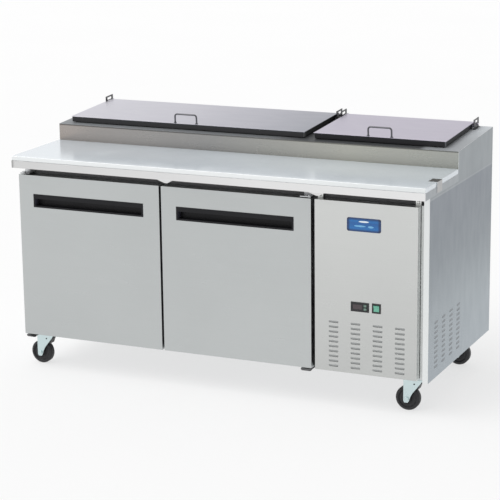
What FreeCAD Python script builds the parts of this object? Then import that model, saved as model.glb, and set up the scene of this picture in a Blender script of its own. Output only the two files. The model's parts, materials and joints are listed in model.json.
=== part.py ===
"""Refrigerated sandwich prep table: two doors, a side-mounted compressor and a raised pan rail.

The origin is on the floor under the middle of the table. +X is to the right as the user stands,
+Y is to the back and +Z is up. Every size is in millimetres and comes from the sheet below.
"""

import FreeCAD, Part
import Sketcher
import math
import os
import re

DIMENSIONS = {
    # the whole table
    "cabinet_width": 1803,
    "overall_depth": 851,
    "base_height": 145,
    "sheet_gauge": 1.5,
    "liner_gauge": 1,
    # doors and the frame that they close on
    "board_overhang": 53,
    "door_bottom": 151,
    "door_height": 690,
    "door_width": 653,
    "door_gap": 10,
    "door_depth": 45,
    "seal_gap": 7,
    "seal_depth": 6,
    "seal_inset": 15,
    "seal_width": 20,
    "frame_depth": 25,
    "frame_face": 84,
    "hinge_inset": 14,
    "hinge_setback": 20,
    "hinge_pin_radius": 4,
    "running_gap": 0.08,
    # the recessed pull along the top of each door
    "pull_inset": 70,
    "pull_width": 507,
    "pull_drop": 82,
    "pull_height": 50,
    "pull_depth": 30,
    # insulated box
    "wall_thick": 55,
    "partition_at": 1325,
    "interior_top": 829,
    # worktop and cutting board
    "worktop_bottom": 879,
    "board_bottom": 909,
    "board_thick": 19,
    # raised pan rail
    "riser_setback": 347,
    "rail_front_top": 998,
    "rail_slope": 2.92,
    "well_wall": 28,
    "pan_pitch": 176,
    "pan_length": 325,
    "pan_drop": 150,
    "pan_flange": 11,
    "well_opening": 308,
    "bar_width": 18,
    # lids
    "lid_left_start": 40,
    "lid_left_width": 1091,
    "lid_right_start": 1171,
    "lid_right_width": 566,
    "lid_setback": 38,
    "lid_depth": 372,
    "lid_gap": 4,
    "lid_thick": 21,
    "lid_skin": 1.2,
    "lid_pin_back": 8,
    "lid_pin_height": 15,
    "lid_pin_radius": 4,
    "lug_height": 41,
    "lug_front": 42,
    "lug_back": 22,
    "bail_width": 100,
    "bail_height": 37,
    "wire_radius": 3.5,
    # louvred panel in front of the compressor
    "panel_start": 1332,
    "panel_width": 425,
    "panel_return": 36,
    "post_face": 23,
    "post_return": 36,
    "slot_width": 38,
    "slot_height": 8,
    "slot_pitch": 20,
    "slot_columns_pitch": 92,
    # casters
    "caster_inset": 70,
    "caster_front_setback": 91,
    "caster_rear_setback": 63,
    "caster_trail": 40,
    "wheel_radius": 50,
    "wheel_width": 32,
    "axle_radius": 5,
}

# Planes that many pieces share, as formulas on the sheet.
LEFT = "(-cabinet_width / 2)"
RIGHT = "(cabinet_width / 2)"
REAR = "(overall_depth / 2)"
FACE = "(board_overhang - overall_depth / 2)"
FRAME = f"({FACE} + door_depth + seal_gap)"
FRAME_BACK = f"({FRAME} + frame_depth)"
RISER = f"({FACE} + riser_setback)"
DOOR_TOP = "(door_bottom + door_height)"
BASE_TOP = "(base_height + sheet_gauge)"
BOARD_TOP = "(board_bottom + board_thick)"
PARTITION = f"({LEFT} + partition_at)"
INSIDE_LEFT = f"({LEFT} + sheet_gauge + wall_thick)"
INSIDE_RIGHT = f"({PARTITION} - wall_thick)"
INSIDE_BACK = f"({REAR} - sheet_gauge - wall_thick)"
INSIDE_FLOOR = f"({BASE_TOP} + wall_thick)"
WELL_FRONT = f"({RISER} + sheet_gauge + well_wall)"
WELL_BACK = f"({REAR} - sheet_gauge - well_wall)"
WELL_LEFT = f"({LEFT} + sheet_gauge + well_wall)"
WELL_RIGHT = f"({RIGHT} - sheet_gauge - well_wall)"
WELL_TOP = "(rail_front_top - 8)"

PANEL = (f"({LEFT} + panel_start)", f"({LEFT} + panel_start + panel_width)")
CLIP = (f"({FACE} + 80)", f"({FACE} + 138)")

LIDS = {"left": ("lid_left_start", "lid_left_width"), "right": ("lid_right_start", "lid_right_width")}
PANS = {"left": 6, "right": 3}

doc = FreeCAD.newDocument("prep_table")
sheet = doc.addObject("Spreadsheet::Sheet", "dims")
for row, (alias, number) in enumerate(DIMENSIONS.items(), start=1):
    sheet.set(f"A{row}", alias)
    sheet.set(f"B{row}", str(number))
    sheet.setAlias(f"B{row}", alias)
doc.recompute()

SUBPARTS = []


# --- helpers -----------------------------------------------------------------------------------


def formula(text):
    """Point every dimension that a formula names at its cell in the sheet."""
    def cell(word):
        return f"dims.{word[0]}" if word[0] in DIMENSIONS else word[0]

    return re.sub(r"[a-z_]+", cell, str(text))


def bind(piece, prop, text):
    piece.setExpression(prop, formula(text))


def place(piece, x=0, y=0, z=0):
    """Put a piece's own origin at a point given by formulas."""
    for letter, text in zip("xyz", (x, y, z)):
        bind(piece, f"Placement.Base.{letter}", text)
    return piece


def keep(piece):
    """Count a finished piece as a sub-part: its label names its file."""
    SUBPARTS.append(piece)
    return piece


def box(name, x, y, z):
    """A block between pairs of limits along X, Y and Z."""
    block = doc.addObject("Part::Box", name)
    for side, (low, high) in zip(("Length", "Width", "Height"), (x, y, z)):
        bind(block, side, f"({high}) - ({low})")
    return place(block, x[0], y[0], z[0])


TURN = {
    "X": FreeCAD.Rotation(FreeCAD.Vector(0, 1, 0), 90),
    "Y": FreeCAD.Rotation(FreeCAD.Vector(1, 0, 0), -90),
    "Z": FreeCAD.Rotation(),
}


def rod(name, axis, start, length, radius):
    """A cylinder that runs from start towards +X, +Y or +Z."""
    cylinder = doc.addObject("Part::Cylinder", name)
    bind(cylinder, "Radius", radius)
    bind(cylinder, "Height", length)
    cylinder.Placement = FreeCAD.Placement(FreeCAD.Vector(), TURN[axis])
    return place(cylinder, *start)


def group(name, pieces):
    """Separate solids that stay separate, kept as one node."""
    compound = doc.addObject("Part::Compound", name)
    compound.Links = pieces
    return compound


def fuse(name, pieces):
    union = doc.addObject("Part::MultiFuse", name)
    union.Shapes = pieces
    return union


def cut(name, base, tools):
    result = doc.addObject("Part::Cut", name)
    result.Base = base
    result.Tool = tools[0] if len(tools) == 1 else group(f"{name}_tools", tools)
    return result


def outline(body, role, points):
    """A closed sketch on one of a body's own planes, each corner held by two bound distances."""
    sketch = body.newObject("Sketcher::SketchObject", f"{body.Name}_sketch")
    plane = next(item for item in body.Origin.OriginFeatures if item.Role == role)
    sketch.AttachmentSupport = [(plane, "")]
    sketch.MapMode = "FlatFace"
    count = len(points)
    start = [FreeCAD.Vector(math.cos(k * math.tau / count), math.sin(k * math.tau / count), 0) * 100
             for k in range(count)]
    for k in range(count):
        sketch.addGeometry(Part.LineSegment(start[k], start[(k + 1) % count]), False)
    for k in range(count):
        sketch.addConstraint(Sketcher.Constraint("Coincident", k, 2, (k + 1) % count, 1))
    for k, corner in enumerate(points):
        for kind, now, text in zip(("DistanceX", "DistanceY"), (start[k].x, start[k].y), corner):
            index = sketch.addConstraint(Sketcher.Constraint(kind, -1, 1, k, 1, now))
            bind(sketch, f"Constraints[{index}]", text)
    return sketch


def prism(name, role, points, low, high):
    """A padded outline between two limits along the normal of its plane."""
    body = doc.addObject("PartDesign::Body", name)
    pad = body.newObject("PartDesign::Pad", f"{name}_pad")
    pad.Profile = outline(body, role, points)
    bind(pad, "Length", f"({high}) - ({low})")
    body.Tip = pad
    if role == "YZ_Plane":
        return place(body, x=low)
    if role == "XZ_Plane":
        return place(body, y=high)
    return place(body, z=low)


def turned(name, points):
    """A profile in the YZ plane, turned about the Y axis."""
    body = doc.addObject("PartDesign::Body", name)
    sketch = outline(body, "YZ_Plane", points)
    turn = body.newObject("PartDesign::Revolution", f"{name}_turn")
    turn.Profile = sketch
    turn.ReferenceAxis = (sketch, ["H_Axis"])
    turn.Angle = 360
    body.Tip = turn
    return body


def rounded(name, base, direction, radius):
    """Round every straight edge of a piece that runs along one direction."""
    doc.recompute()
    along = FreeCAD.Vector(*direction)
    edges = []
    for number, edge in enumerate(base.Shape.Edges, start=1):
        if isinstance(edge.Curve, Part.Line) and abs(edge.Curve.Direction.dot(along)) > 0.999:
            edges.append((number, radius, radius))
    fillet = doc.addObject("Part::Fillet", name)
    fillet.Base = base
    fillet.Edges = edges
    return fillet


def on_rail(piece):
    """Tilt a piece drawn flat onto the sloping top of the rail."""
    piece.Placement = FreeCAD.Placement(FreeCAD.Vector(), FreeCAD.Rotation(FreeCAD.Vector(1, 0, 0), 1))
    bind(piece, "Placement.Rotation.Angle", "rail_slope")
    return place(piece, 0, RISER, "rail_front_top")


def slots(name, columns, rows, first, across, wall):
    """A block of cooling slots through a wall: first is the lowest slot's corner, across its axis."""
    tools = []
    for column in range(columns):
        for line in range(rows):
            along = (f"{first[0]} + {column} * slot_columns_pitch",
                     f"{first[0]} + {column} * slot_columns_pitch + slot_width")
            up = (f"{first[1]} + {line} * slot_pitch", f"{first[1]} + {line} * slot_pitch + slot_height")
            limits = (along, wall, up) if across == "X" else (wall, along, up)
            tools.append(box(f"{name}_{column}_{line}", *limits))
    return tools


# --- outer skins -------------------------------------------------------------------------------


def rail_edge(y):
    """Height of the rail's top surface at a given depth."""
    return f"rail_front_top + (({y}) - {RISER}) * tan(rail_slope)"


def side_outline(front):
    """Low in front under the worktop, full height beside the pan rail."""
    return [
        (front, "base_height"), (REAR, "base_height"), (REAR, rail_edge(REAR)),
        (RISER, "rail_front_top"), (RISER, "worktop_bottom"), (front, "worktop_bottom"),
    ]


def build_sides():
    """Side sheets: the left one is flat, the right one folds round the post beside the panel."""
    keep(prism("side_panel_left", "YZ_Plane", side_outline(FRAME), LEFT, f"{LEFT} + sheet_gauge"))

    sheet_metal = prism("side_sheet", "YZ_Plane", side_outline(FACE), f"{RIGHT} - sheet_gauge", RIGHT)
    inner = f"{RIGHT} - post_face"
    flange = box("side_flange", (inner, RIGHT), (FACE, f"{FACE} + sheet_gauge"),
                 ("base_height", "worktop_bottom"))
    lip = box("side_lip", (inner, f"{inner} + sheet_gauge"), (FACE, f"{FACE} + post_return"),
              ("base_height", "worktop_bottom"))
    stop = box("side_stop", (f"{PANEL[1]} + 1.5", inner),
               (f"{FACE} + post_return - sheet_gauge", f"{FACE} + post_return"), ("base_height", DOOR_TOP))
    vents = slots("side_slot", 4, 10, (f"{FACE} + 75", "186"), "Y", (f"{RIGHT} - 5", f"{RIGHT} + 5"))
    keep(cut("side_panel_right", fuse("side_folded", [sheet_metal, flange, lip, stop]), vents))


def build_back_and_base():
    """Back sheet with its own vents, and the tray that the machinery stands on."""
    sheet_metal = box("back_sheet", (f"{LEFT} + sheet_gauge", f"{RIGHT} - sheet_gauge"),
                      (f"{REAR} - sheet_gauge", REAR), (BASE_TOP, f"{rail_edge(REAR)} - 3"))
    vents = slots("back_slot", 4, 10, (f"{PARTITION} + 60", "230"), "X", (f"{REAR} - 5", f"{REAR} + 5"))
    inlet = box("inlet_hole", (f"{RIGHT} - 130", f"{RIGHT} - 102"), (f"{REAR} - 5", f"{REAR} + 5"),
                ("175", "195"))
    keep(cut("back_panel", sheet_metal, vents + [inlet]))

    floor = box("base_floor", (f"{LEFT} + sheet_gauge", f"{RIGHT} - sheet_gauge"), (FRAME, REAR),
                ("base_height", BASE_TOP))
    toe = box("base_toe", (f"{PARTITION} + 1", f"{RIGHT} - post_face - 1"),
              (f"{FACE} + panel_return + 2", f"{FRAME}"), ("base_height", BASE_TOP))
    lip = box("base_lip", (f"{PARTITION} + 1", f"{RIGHT} - post_face - 1"),
              (f"{FACE} + panel_return + 2", f"{FACE} + panel_return + 2 + sheet_gauge"),
              ("base_height", f"{BASE_TOP} + 18"))
    keep(fuse("base_pan", [floor, toe, lip]))


# --- insulated box -----------------------------------------------------------------------------

LINE_RADIUS = {"liquid": "3", "suction": "5"}
LINE_DEPTH = {"liquid": "130", "suction": "250"}
LINE_LEVEL = {"liquid": "(interior_top - 110)", "suction": "(interior_top - 80)"}


def build_insulation():
    """Foam slabs between the outer skins and the liner, each a plain block."""
    skin_left = f"{LEFT} + sheet_gauge"
    skin_right = f"{RIGHT} - sheet_gauge"
    skin_back = f"{REAR} - sheet_gauge"
    liner = "liner_gauge"
    sill = f"(interior_top - {liner})"
    deck = "(worktop_bottom - 1)"
    front = f"({WELL_FRONT} - {liner})"
    slabs = {
        "left": ((skin_left, f"{INSIDE_LEFT} - {liner}"), (FRAME_BACK, skin_back), (BASE_TOP, sill)),
        "left_well": ((skin_left, f"{WELL_LEFT} - {liner}"), (front, skin_back), (sill, WELL_TOP)),
        "partition": ((f"{INSIDE_RIGHT} + {liner}", PARTITION), (FRAME_BACK, skin_back), (BASE_TOP, sill)),
        "floor": ((f"{INSIDE_LEFT} - {liner}", f"{INSIDE_RIGHT} + {liner}"), (FRAME_BACK, skin_back),
                  (BASE_TOP, f"{INSIDE_FLOOR} - {liner}")),
        "back": ((f"{INSIDE_LEFT} - {liner}", f"{INSIDE_RIGHT} + {liner}"),
                 (f"{INSIDE_BACK} + {liner}", skin_back), (f"{INSIDE_FLOOR} - {liner}", sill)),
        "ceiling": ((skin_left, PARTITION), (FRAME_BACK, front), (f"interior_top + {liner}", deck)),
        "well_front": ((skin_left, skin_right), (f"{RISER} + sheet_gauge", front), (deck, WELL_TOP)),
        "well_back": ((f"{WELL_LEFT} - {liner}", skin_right), (f"{WELL_BACK} + {liner}", skin_back),
                      (sill, WELL_TOP)),
        "well_right": ((f"{WELL_RIGHT} + {liner}", skin_right), (front, f"{WELL_BACK} + {liner}"),
                       (sill, WELL_TOP)),
        "well_floor": ((PARTITION, skin_right), (f"{RISER} + sheet_gauge", skin_back),
                       (f"{sill} - 35", sill)),
        "well_sill": ((PARTITION, skin_right), (f"{RISER} + sheet_gauge", front), (sill, deck)),
    }
    foam = {name: box(f"foam_{name}", *limits) for name, limits in slabs.items()}
    foam["partition"] = cut("foam_drilled", foam["partition"], line_holes("foam"))
    keep(group("insulation", list(foam.values())))


def line_holes(name):
    """Round ways through the partition for the two refrigerant lines."""
    return [
        rod(f"{name}_way_{line}", "X", (f"{INSIDE_RIGHT} - 5", f"{WELL_FRONT} + {LINE_DEPTH[line]}", level),
            "wall_thick + 10", f"{LINE_RADIUS[line]} + 0.4")
        for line, level in LINE_LEVEL.items()
    ]


def build_liner():
    """One folded skin inside the cabinet and the pan well, open to the doors and to the pans."""
    grow = "liner_gauge"
    cabinet = (INSIDE_LEFT, INSIDE_RIGHT), (FRAME_BACK, INSIDE_BACK), (INSIDE_FLOOR, "interior_top")
    well = (WELL_LEFT, WELL_RIGHT), (WELL_FRONT, WELL_BACK), ("interior_top", WELL_TOP)
    outer_cabinet = box("liner_cabinet_outer", (f"{cabinet[0][0]} - {grow}", f"{cabinet[0][1]} + {grow}"),
                        (cabinet[1][0], f"{cabinet[1][1]} + {grow}"),
                        (f"{cabinet[2][0]} - {grow}", f"{cabinet[2][1]} + {grow}"))
    outer_well = box("liner_well_outer", (f"{well[0][0]} - {grow}", f"{well[0][1]} + {grow}"),
                     (f"{well[1][0]} - {grow}", f"{well[1][1]} + {grow}"),
                     (f"{well[2][0]} - {grow}", well[2][1]))
    inner_cabinet = box("liner_cabinet_inner", cabinet[0], (f"{cabinet[1][0]} - 5", cabinet[1][1]),
                        cabinet[2])
    inner_well = box("liner_well_inner", well[0], well[1], (well[2][0], f"{well[2][1]} + 5"))
    throat = box("liner_throat", cabinet[0], (well[1][0], cabinet[1][1]),
                 ("interior_top - 5", "interior_top + 5"))
    keep(cut("inner_liner", fuse("liner_outer", [outer_cabinet, outer_well]),
             [inner_cabinet, inner_well, throat] + line_holes("liner")))


def build_door_frame():
    """The members that the door seals close on."""
    middle = f"{LEFT} + door_width + door_gap / 2"
    depth = (FRAME, FRAME_BACK)
    stile_left = f"{LEFT} + sheet_gauge"
    sill_top = f"{INSIDE_FLOOR} + 4"
    rail_bottom = "interior_top - 38"
    bars = [
        box("frame_sill", (stile_left, PARTITION), depth, (BASE_TOP, sill_top)),
        box("frame_head", (stile_left, f"{RIGHT} - sheet_gauge"), depth,
            (rail_bottom, "worktop_bottom - 1")),
    ]
    uprights = {
        "left": (stile_left, f"{INSIDE_LEFT} + 4"),
        "middle": (f"{middle} - frame_face / 2", f"{middle} + frame_face / 2"),
        "right": (f"{INSIDE_RIGHT} - 4", PARTITION),
    }
    for name, width in uprights.items():
        bars.append(box(f"frame_{name}", width, depth, (sill_top, rail_bottom)))
    keep(group("door_frame", bars))


# --- worktop and pan rail ----------------------------------------------------------------------


def build_worktop():
    """Steel tray with turned-down edges, and the white board on it."""
    front = f"{FACE} - board_overhang"
    deck = box("worktop_deck", (LEFT, RIGHT), (front, RISER), ("board_bottom - sheet_gauge", "board_bottom"))
    apron = box("worktop_apron", (LEFT, RIGHT), (front, f"{front} + sheet_gauge"),
                ("worktop_bottom", "board_bottom"))
    hem = box("worktop_hem", (LEFT, RIGHT), (front, f"{front} + 18"),
              ("worktop_bottom", "worktop_bottom + sheet_gauge"))
    skirts = [
        box(f"worktop_skirt_{name}", limits, (front, RISER), ("worktop_bottom", "board_bottom"))
        for name, limits in (("left", (LEFT, f"{LEFT} + sheet_gauge")),
                             ("right", (f"{RIGHT} - sheet_gauge", RIGHT)))
    ]
    keep(fuse("worktop", [deck, apron, hem] + skirts))

    board = box("board_blank", (f"{LEFT} + 1", f"{RIGHT} - 1"), (f"{front} + 1", f"{RISER} - 1"),
                ("board_bottom", BOARD_TOP))
    recess = box("board_recess", (f"{RIGHT} - 36.3", f"{RIGHT} + 1"),
                 (f"{CLIP[0]} - 0.3", f"{CLIP[1]} + 0.3"), (f"{BOARD_TOP} - 3", f"{BOARD_TOP} + 1"))
    keep(cut("cutting_board", rounded("board_rounded", board, (1, 0, 0), 3), [recess]))


def build_board_brackets():
    """Two pointed supports under the front edge, and the hold-down clip let into the board's right end."""
    pieces = []
    front = f"{FACE} - board_overhang"
    for number, start in enumerate(("714", "1366")):
        middle = f"{LEFT} + {start}"
        pointed = prism(f"support_{number}_point", "XZ_Plane",
                        [(f"{middle} - 40", "worktop_bottom"), (f"{middle} - 6", "worktop_bottom - 12"),
                         (f"{middle} + 6", "worktop_bottom - 12"), (f"{middle} + 28", "worktop_bottom")],
                        front, f"{front} + 2")
        arm = box(f"support_{number}_arm", (f"{middle} - 16", f"{middle} + 16"), (front, FRAME),
                  ("worktop_bottom - 3", "worktop_bottom"))
        pieces.append(fuse(f"board_support_{number}", [pointed, arm]))
    top = box("clip_top", (f"{RIGHT} - 36", f"{RIGHT} + 2"), CLIP, (f"{BOARD_TOP} - 3", BOARD_TOP))
    side = box("clip_side", (RIGHT, f"{RIGHT} + 2"), CLIP, ("worktop_bottom + 6", BOARD_TOP))
    pieces.append(fuse("board_clip", [top, side]))
    keep(group("board_brackets", pieces))


def span(start, direction, near, far):
    """Limits from near to far along +X, or along -X when the direction is -1, lower one first."""
    pair = (f"{start} + {direction} * ({near})", f"{start} + {direction} * ({far})")
    return pair if direction == 1 else pair[::-1]


def lid_limits(side):
    start, width = LIDS[side]
    return f"{LEFT} + {start}", f"{LEFT} + {start} + {width}"


def lid_middle(side):
    start, width = LIDS[side]
    return f"{LEFT} + {start} + {width} / 2"


WELL_MIDDLE = "(lid_setback + lid_depth / 2)"


def build_rail():
    """Riser behind the board and the sloping top with its two pan openings, drawn flat."""
    keep(box("rail_front_panel", (f"{LEFT} + sheet_gauge", f"{RIGHT} - sheet_gauge"),
             (RISER, f"{RISER} + sheet_gauge"), ("worktop_bottom", "rail_front_top - sheet_gauge - 0.1")))

    length = "(overall_depth - board_overhang - riser_setback) / cos(rail_slope)"
    top = box("rail_top_sheet", (f"{LEFT} + sheet_gauge", f"{RIGHT} - sheet_gauge"), ("0", length),
              ("-sheet_gauge", "0"))
    openings = []
    for side, count in PANS.items():
        half = f"({count} * pan_pitch / 2 - 4)"
        openings.append(box(f"rail_opening_{side}",
                            (f"{lid_middle(side)} - {half}", f"{lid_middle(side)} + {half}"),
                            (f"{WELL_MIDDLE} - well_opening / 2", f"{WELL_MIDDLE} + well_opening / 2"),
                            ("-10", "10")))
    keep(on_rail(cut("rail_top_frame", top, openings)))

    bars = []
    for side, count in PANS.items():
        for number in range(1, count):
            middle = f"{lid_middle(side)} + ({number} - {count} / 2) * pan_pitch"
            bars.append(box(f"bar_{side}_{number}",
                            (f"{middle} - bar_width / 2", f"{middle} + bar_width / 2"),
                            (f"{WELL_MIDDLE} - well_opening / 2", f"{WELL_MIDDLE} + well_opening / 2"),
                            ("-7", "0")))
    keep(on_rail(group("pan_divider_bars", bars)))


def build_pans():
    """Nine pans in two rows, six under the left lid and three under the right one."""
    pans = []
    for side, count in PANS.items():
        for number in range(count):
            middle = f"{lid_middle(side)} + ({number} + 0.5 - {count} / 2) * pan_pitch"
            pans.append(one_pan(f"pan_{side}_{number}", middle))
    keep(on_rail(group("food_pans", pans)))


def one_pan(name, middle):
    """A third-size pan with tapered walls and a flat flange that rests on the rail."""
    half_wide = "(pan_pitch / 2 - pan_flange)"
    half_long = "(pan_length / 2 - pan_flange)"

    def tub(part, wall, low, high):
        """A block that narrows downwards, drawn on its side because its taper runs along Y."""
        block = doc.addObject("Part::Wedge", f"{name}_{part}")
        limits = {
            "Xmin": f"-{half_wide} + {wall} + 9", "Xmax": f"{half_wide} - {wall} - 9",
            "X2min": f"-{half_wide} + {wall}", "X2max": f"{half_wide} - {wall}",
            "Zmin": f"-{half_long} + {wall} + 9", "Zmax": f"{half_long} - {wall} - 9",
            "Z2min": f"-{half_long} + {wall}", "Z2max": f"{half_long} - {wall}",
            "Ymin": low, "Ymax": high,
        }
        for prop, text in limits.items():
            bind(block, prop, text)
        block.Placement = FreeCAD.Placement(FreeCAD.Vector(), FreeCAD.Rotation(FreeCAD.Vector(1, 0, 0), 90))
        return place(block, middle, WELL_MIDDLE, "0")

    flange = box(f"{name}_flange", (f"{middle} - pan_pitch / 2 + 0.5", f"{middle} + pan_pitch / 2 - 0.5"),
                 (f"{WELL_MIDDLE} - pan_length / 2", f"{WELL_MIDDLE} + pan_length / 2"), ("0", "1"))
    shell = fuse(f"{name}_solid", [tub("outer", "0", "-pan_drop", "1"), flange])
    return cut(name, shell, [tub("inner", "0.8", "0.8 - pan_drop", "1.01")])


def build_lid_lugs():
    """Upright plates at the lids' rear corners, each bored for a lid's pivot pin."""
    pin = "(lid_setback + lid_depth + lid_pin_back)"
    lugs = []
    for side in LIDS:
        low, high = lid_limits(side)
        for end, start, foot in (("a", f"{low} - 14", ("-5.5", "0")), ("b", f"{high} + 6", ("3", "8.5"))):
            plate = box(f"lug_{side}_{end}_plate", (start, f"{start} + 3"),
                        (f"{pin} - lug_front", f"{pin} + lug_back"), ("0", "lug_height"))
            base = box(f"lug_{side}_{end}_foot", (f"{start} + {foot[0]}", f"{start} + {foot[1]}"),
                       (f"{pin} - lug_front", f"{pin} + lug_back"), ("0", "2.5"))
            window = box(f"lug_{side}_{end}_window", (f"{start} - 2", f"{start} + 5"),
                         (f"{pin} - lug_front + 12", f"{pin} + lug_back - 12"),
                         ("lid_pin_height + 9", "lug_height - 6"))
            bore = rod(f"lug_{side}_{end}_bore", "X", (f"{start} - 2", pin, "lid_pin_height"), "7",
                       "lid_pin_radius + running_gap")
            upright = fuse(f"lug_{side}_{end}_solid", [plate, base])
            lugs.append(cut(f"lug_{side}_{end}", upright, [window, bore]))
    keep(on_rail(group("lid_lugs", lugs)))


def build_lid(side):
    """Black insulated slab, its steel skin with the pivot pins, and a wire bail."""
    low, high = lid_limits(side)
    depth = ("lid_setback", "lid_setback + lid_depth")
    top = "(lid_gap + lid_thick)"
    slab = box(f"lid_{side}_slab", (f"{low} + 3.5", f"{high} - 3.5"), depth, ("lid_gap", top))
    relief = box(f"lid_{side}_relief", (f"{low} + 22", f"{high} - 22"),
                 ("lid_setback + 18", "lid_setback + lid_depth - 18"), ("lid_gap - 1", "lid_gap + 6"))
    hollow = cut(f"lid_{side}_hollow", slab, [relief])
    keep(on_rail(rounded(f"lid_{side}_core", hollow, (0, 0, 1), 4)))

    cover = box(f"lid_{side}_cover", (low, high), ("lid_setback + 0.5", "lid_setback + lid_depth"),
                (top, f"{top} + lid_skin"))
    pin = "(lid_setback + lid_depth + lid_pin_back)"
    pieces = [cover]
    for end, inner, outer, start in (("a", low, f"{low} + 3", f"{low} - 15"),
                                     ("b", f"{high} - 3", high, f"{high} - 1")):
        pieces.append(box(f"lid_{side}_arm_{end}", (inner, outer),
                          ("lid_setback + lid_depth - 26", f"{pin} + 6"),
                          ("lid_pin_height - 8", f"{top} + lid_skin")))
        pieces.append(rod(f"lid_{side}_pin_{end}", "X", (start, pin, "lid_pin_height"), "16",
                          "lid_pin_radius"))
    keep(on_rail(fuse(f"lid_{side}_skin", pieces)))

    keep(on_rail(bail(f"lid_{side}_handle", lid_middle(side), "lid_setback + 13", f"{top} + lid_skin")))


def bail(name, middle, depth, foot):
    """Round wire bent into a handle: two legs, two bends and a grip."""
    bend = "11"
    pieces = []
    for end, sign, start in (("a", "-1", 90), ("b", "1", 0)):
        x = f"{middle} + {sign} * bail_width / 2"
        pieces.append(rod(f"{name}_leg_{end}", "Z", (x, depth, foot), f"bail_height - {bend}", "wire_radius"))
        pieces.append(rod(f"{name}_seat_{end}", "Z", (x, depth, foot), "1.5", "wire_radius + 3"))
        corner = doc.addObject("Part::Torus", f"{name}_bend_{end}")
        bind(corner, "Radius1", bend)
        bind(corner, "Radius2", "wire_radius")
        corner.Angle3 = 90
        turn = (FreeCAD.Rotation(FreeCAD.Vector(1, 0, 0), 90)
                * FreeCAD.Rotation(FreeCAD.Vector(0, 0, 1), start))
        corner.Placement = FreeCAD.Placement(FreeCAD.Vector(), turn)
        place(corner, f"{middle} + {sign} * (bail_width / 2 - {bend})", depth,
              f"{foot} + bail_height - {bend}")
        pieces.append(corner)
    pieces.append(rod(f"{name}_grip", "X",
                      (f"{middle} - bail_width / 2 + {bend}", depth, f"{foot} + bail_height"),
                      f"bail_width - 2 * {bend}", "wire_radius"))
    return fuse(name, pieces)


# --- louvred panel and controls ----------------------------------------------------------------

CONTROLLER = (f"({LEFT} + 1484)", f"({LEFT} + 1559)")
CONTROLLER_HEIGHT = ("406", "444")
ROCKER = (f"({LEFT} + 1572)", f"({LEFT} + 1608)")
ROCKER_HEIGHT = ("406", "445")
KEYS = {"up": "21", "down": "7"}


def build_louvred_panel():
    """Folded panel with slots, cut-outs for the controls and two screw tabs, and the badge on it."""
    outer = box("panel_outer", PANEL, (FACE, f"{FACE} + panel_return"), ("door_bottom", DOOR_TOP))
    hollow = box("panel_hollow", (f"{PANEL[0]} + sheet_gauge", f"{PANEL[1]} - sheet_gauge"),
                 (f"{FACE} + sheet_gauge", f"{FACE} + panel_return + 5"),
                 ("door_bottom + sheet_gauge", f"{DOOR_TOP} - sheet_gauge"))
    tab_widths = {"left": (PANEL[0], f"{PANEL[0]} + 22"), "right": (f"{PANEL[1]} - 22", PANEL[1])}
    tabs = [
        box(f"panel_tab_{name}", limits, (f"{FACE} + panel_return - sheet_gauge", f"{FACE} + panel_return"),
            (f"{DOOR_TOP} - sheet_gauge", f"{DOOR_TOP} + 24"))
        for name, limits in tab_widths.items()
    ]
    wall = (f"{FACE} - 5", f"{FACE} + 5")
    holes = slots("panel_slot", 4, 10, (f"{PANEL[0]} + 60", "170"), "X", wall)
    holes.append(box("controller_hole", (f"{CONTROLLER[0]} + 3", f"{CONTROLLER[1]} - 3"), wall,
                     (f"{CONTROLLER_HEIGHT[0]} + 3", f"{CONTROLLER_HEIGHT[1]} - 3")))
    holes.append(box("rocker_hole", (f"{ROCKER[0]} + 4", f"{ROCKER[1]} - 4"), wall,
                     (f"{ROCKER_HEIGHT[0]} + 4", f"{ROCKER_HEIGHT[1]} - 4")))
    keep(cut("louvred_front_panel", fuse("panel_solid", [outer] + tabs), [hollow] + holes))

    plate = box("badge_blank", (f"{PANEL[0]} + 135", f"{PANEL[0]} + 275"), (f"{FACE} - 1.5", FACE),
                ("727", "781"))
    keep(rounded("badge_plate", plate, (0, 1, 0), 8))


def build_panel_screws():
    """Round-head screws: two on the panel's tabs and six on the back sheet."""
    screws = []
    behind = f"{FACE} + panel_return"
    for name, x in (("left", f"{PANEL[0]} + 11"), ("right", f"{PANEL[1]} - 11")):
        head = rod(f"screw_{name}_head", "Y", (x, f"{behind} - sheet_gauge - 5", f"{DOOR_TOP} + 13"),
                   "5", "7")
        screws.append(rounded_ring(f"screw_{name}", head, 3))
    for name, x in (("left", f"{LEFT} + 30"), ("middle", PARTITION), ("right", f"{RIGHT} - 30")):
        for level in ("170", "880"):
            screws.append(rod(f"screw_back_{name}_{level}", "Y", (x, REAR, level), "2", "5"))
    keep(group("panel_screws", screws))


def rounded_ring(name, base, radius):
    """Dome a round head by filleting its front edge."""
    doc.recompute()
    rings = [(number, radius, radius) for number, edge in enumerate(base.Shape.Edges, start=1)
             if isinstance(edge.Curve, Part.Circle) and edge.CenterOfMass.y < base.Shape.CenterOfMass.y]
    fillet = doc.addObject("Part::Fillet", name)
    fillet.Base = base
    fillet.Edges = rings
    return fillet


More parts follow.
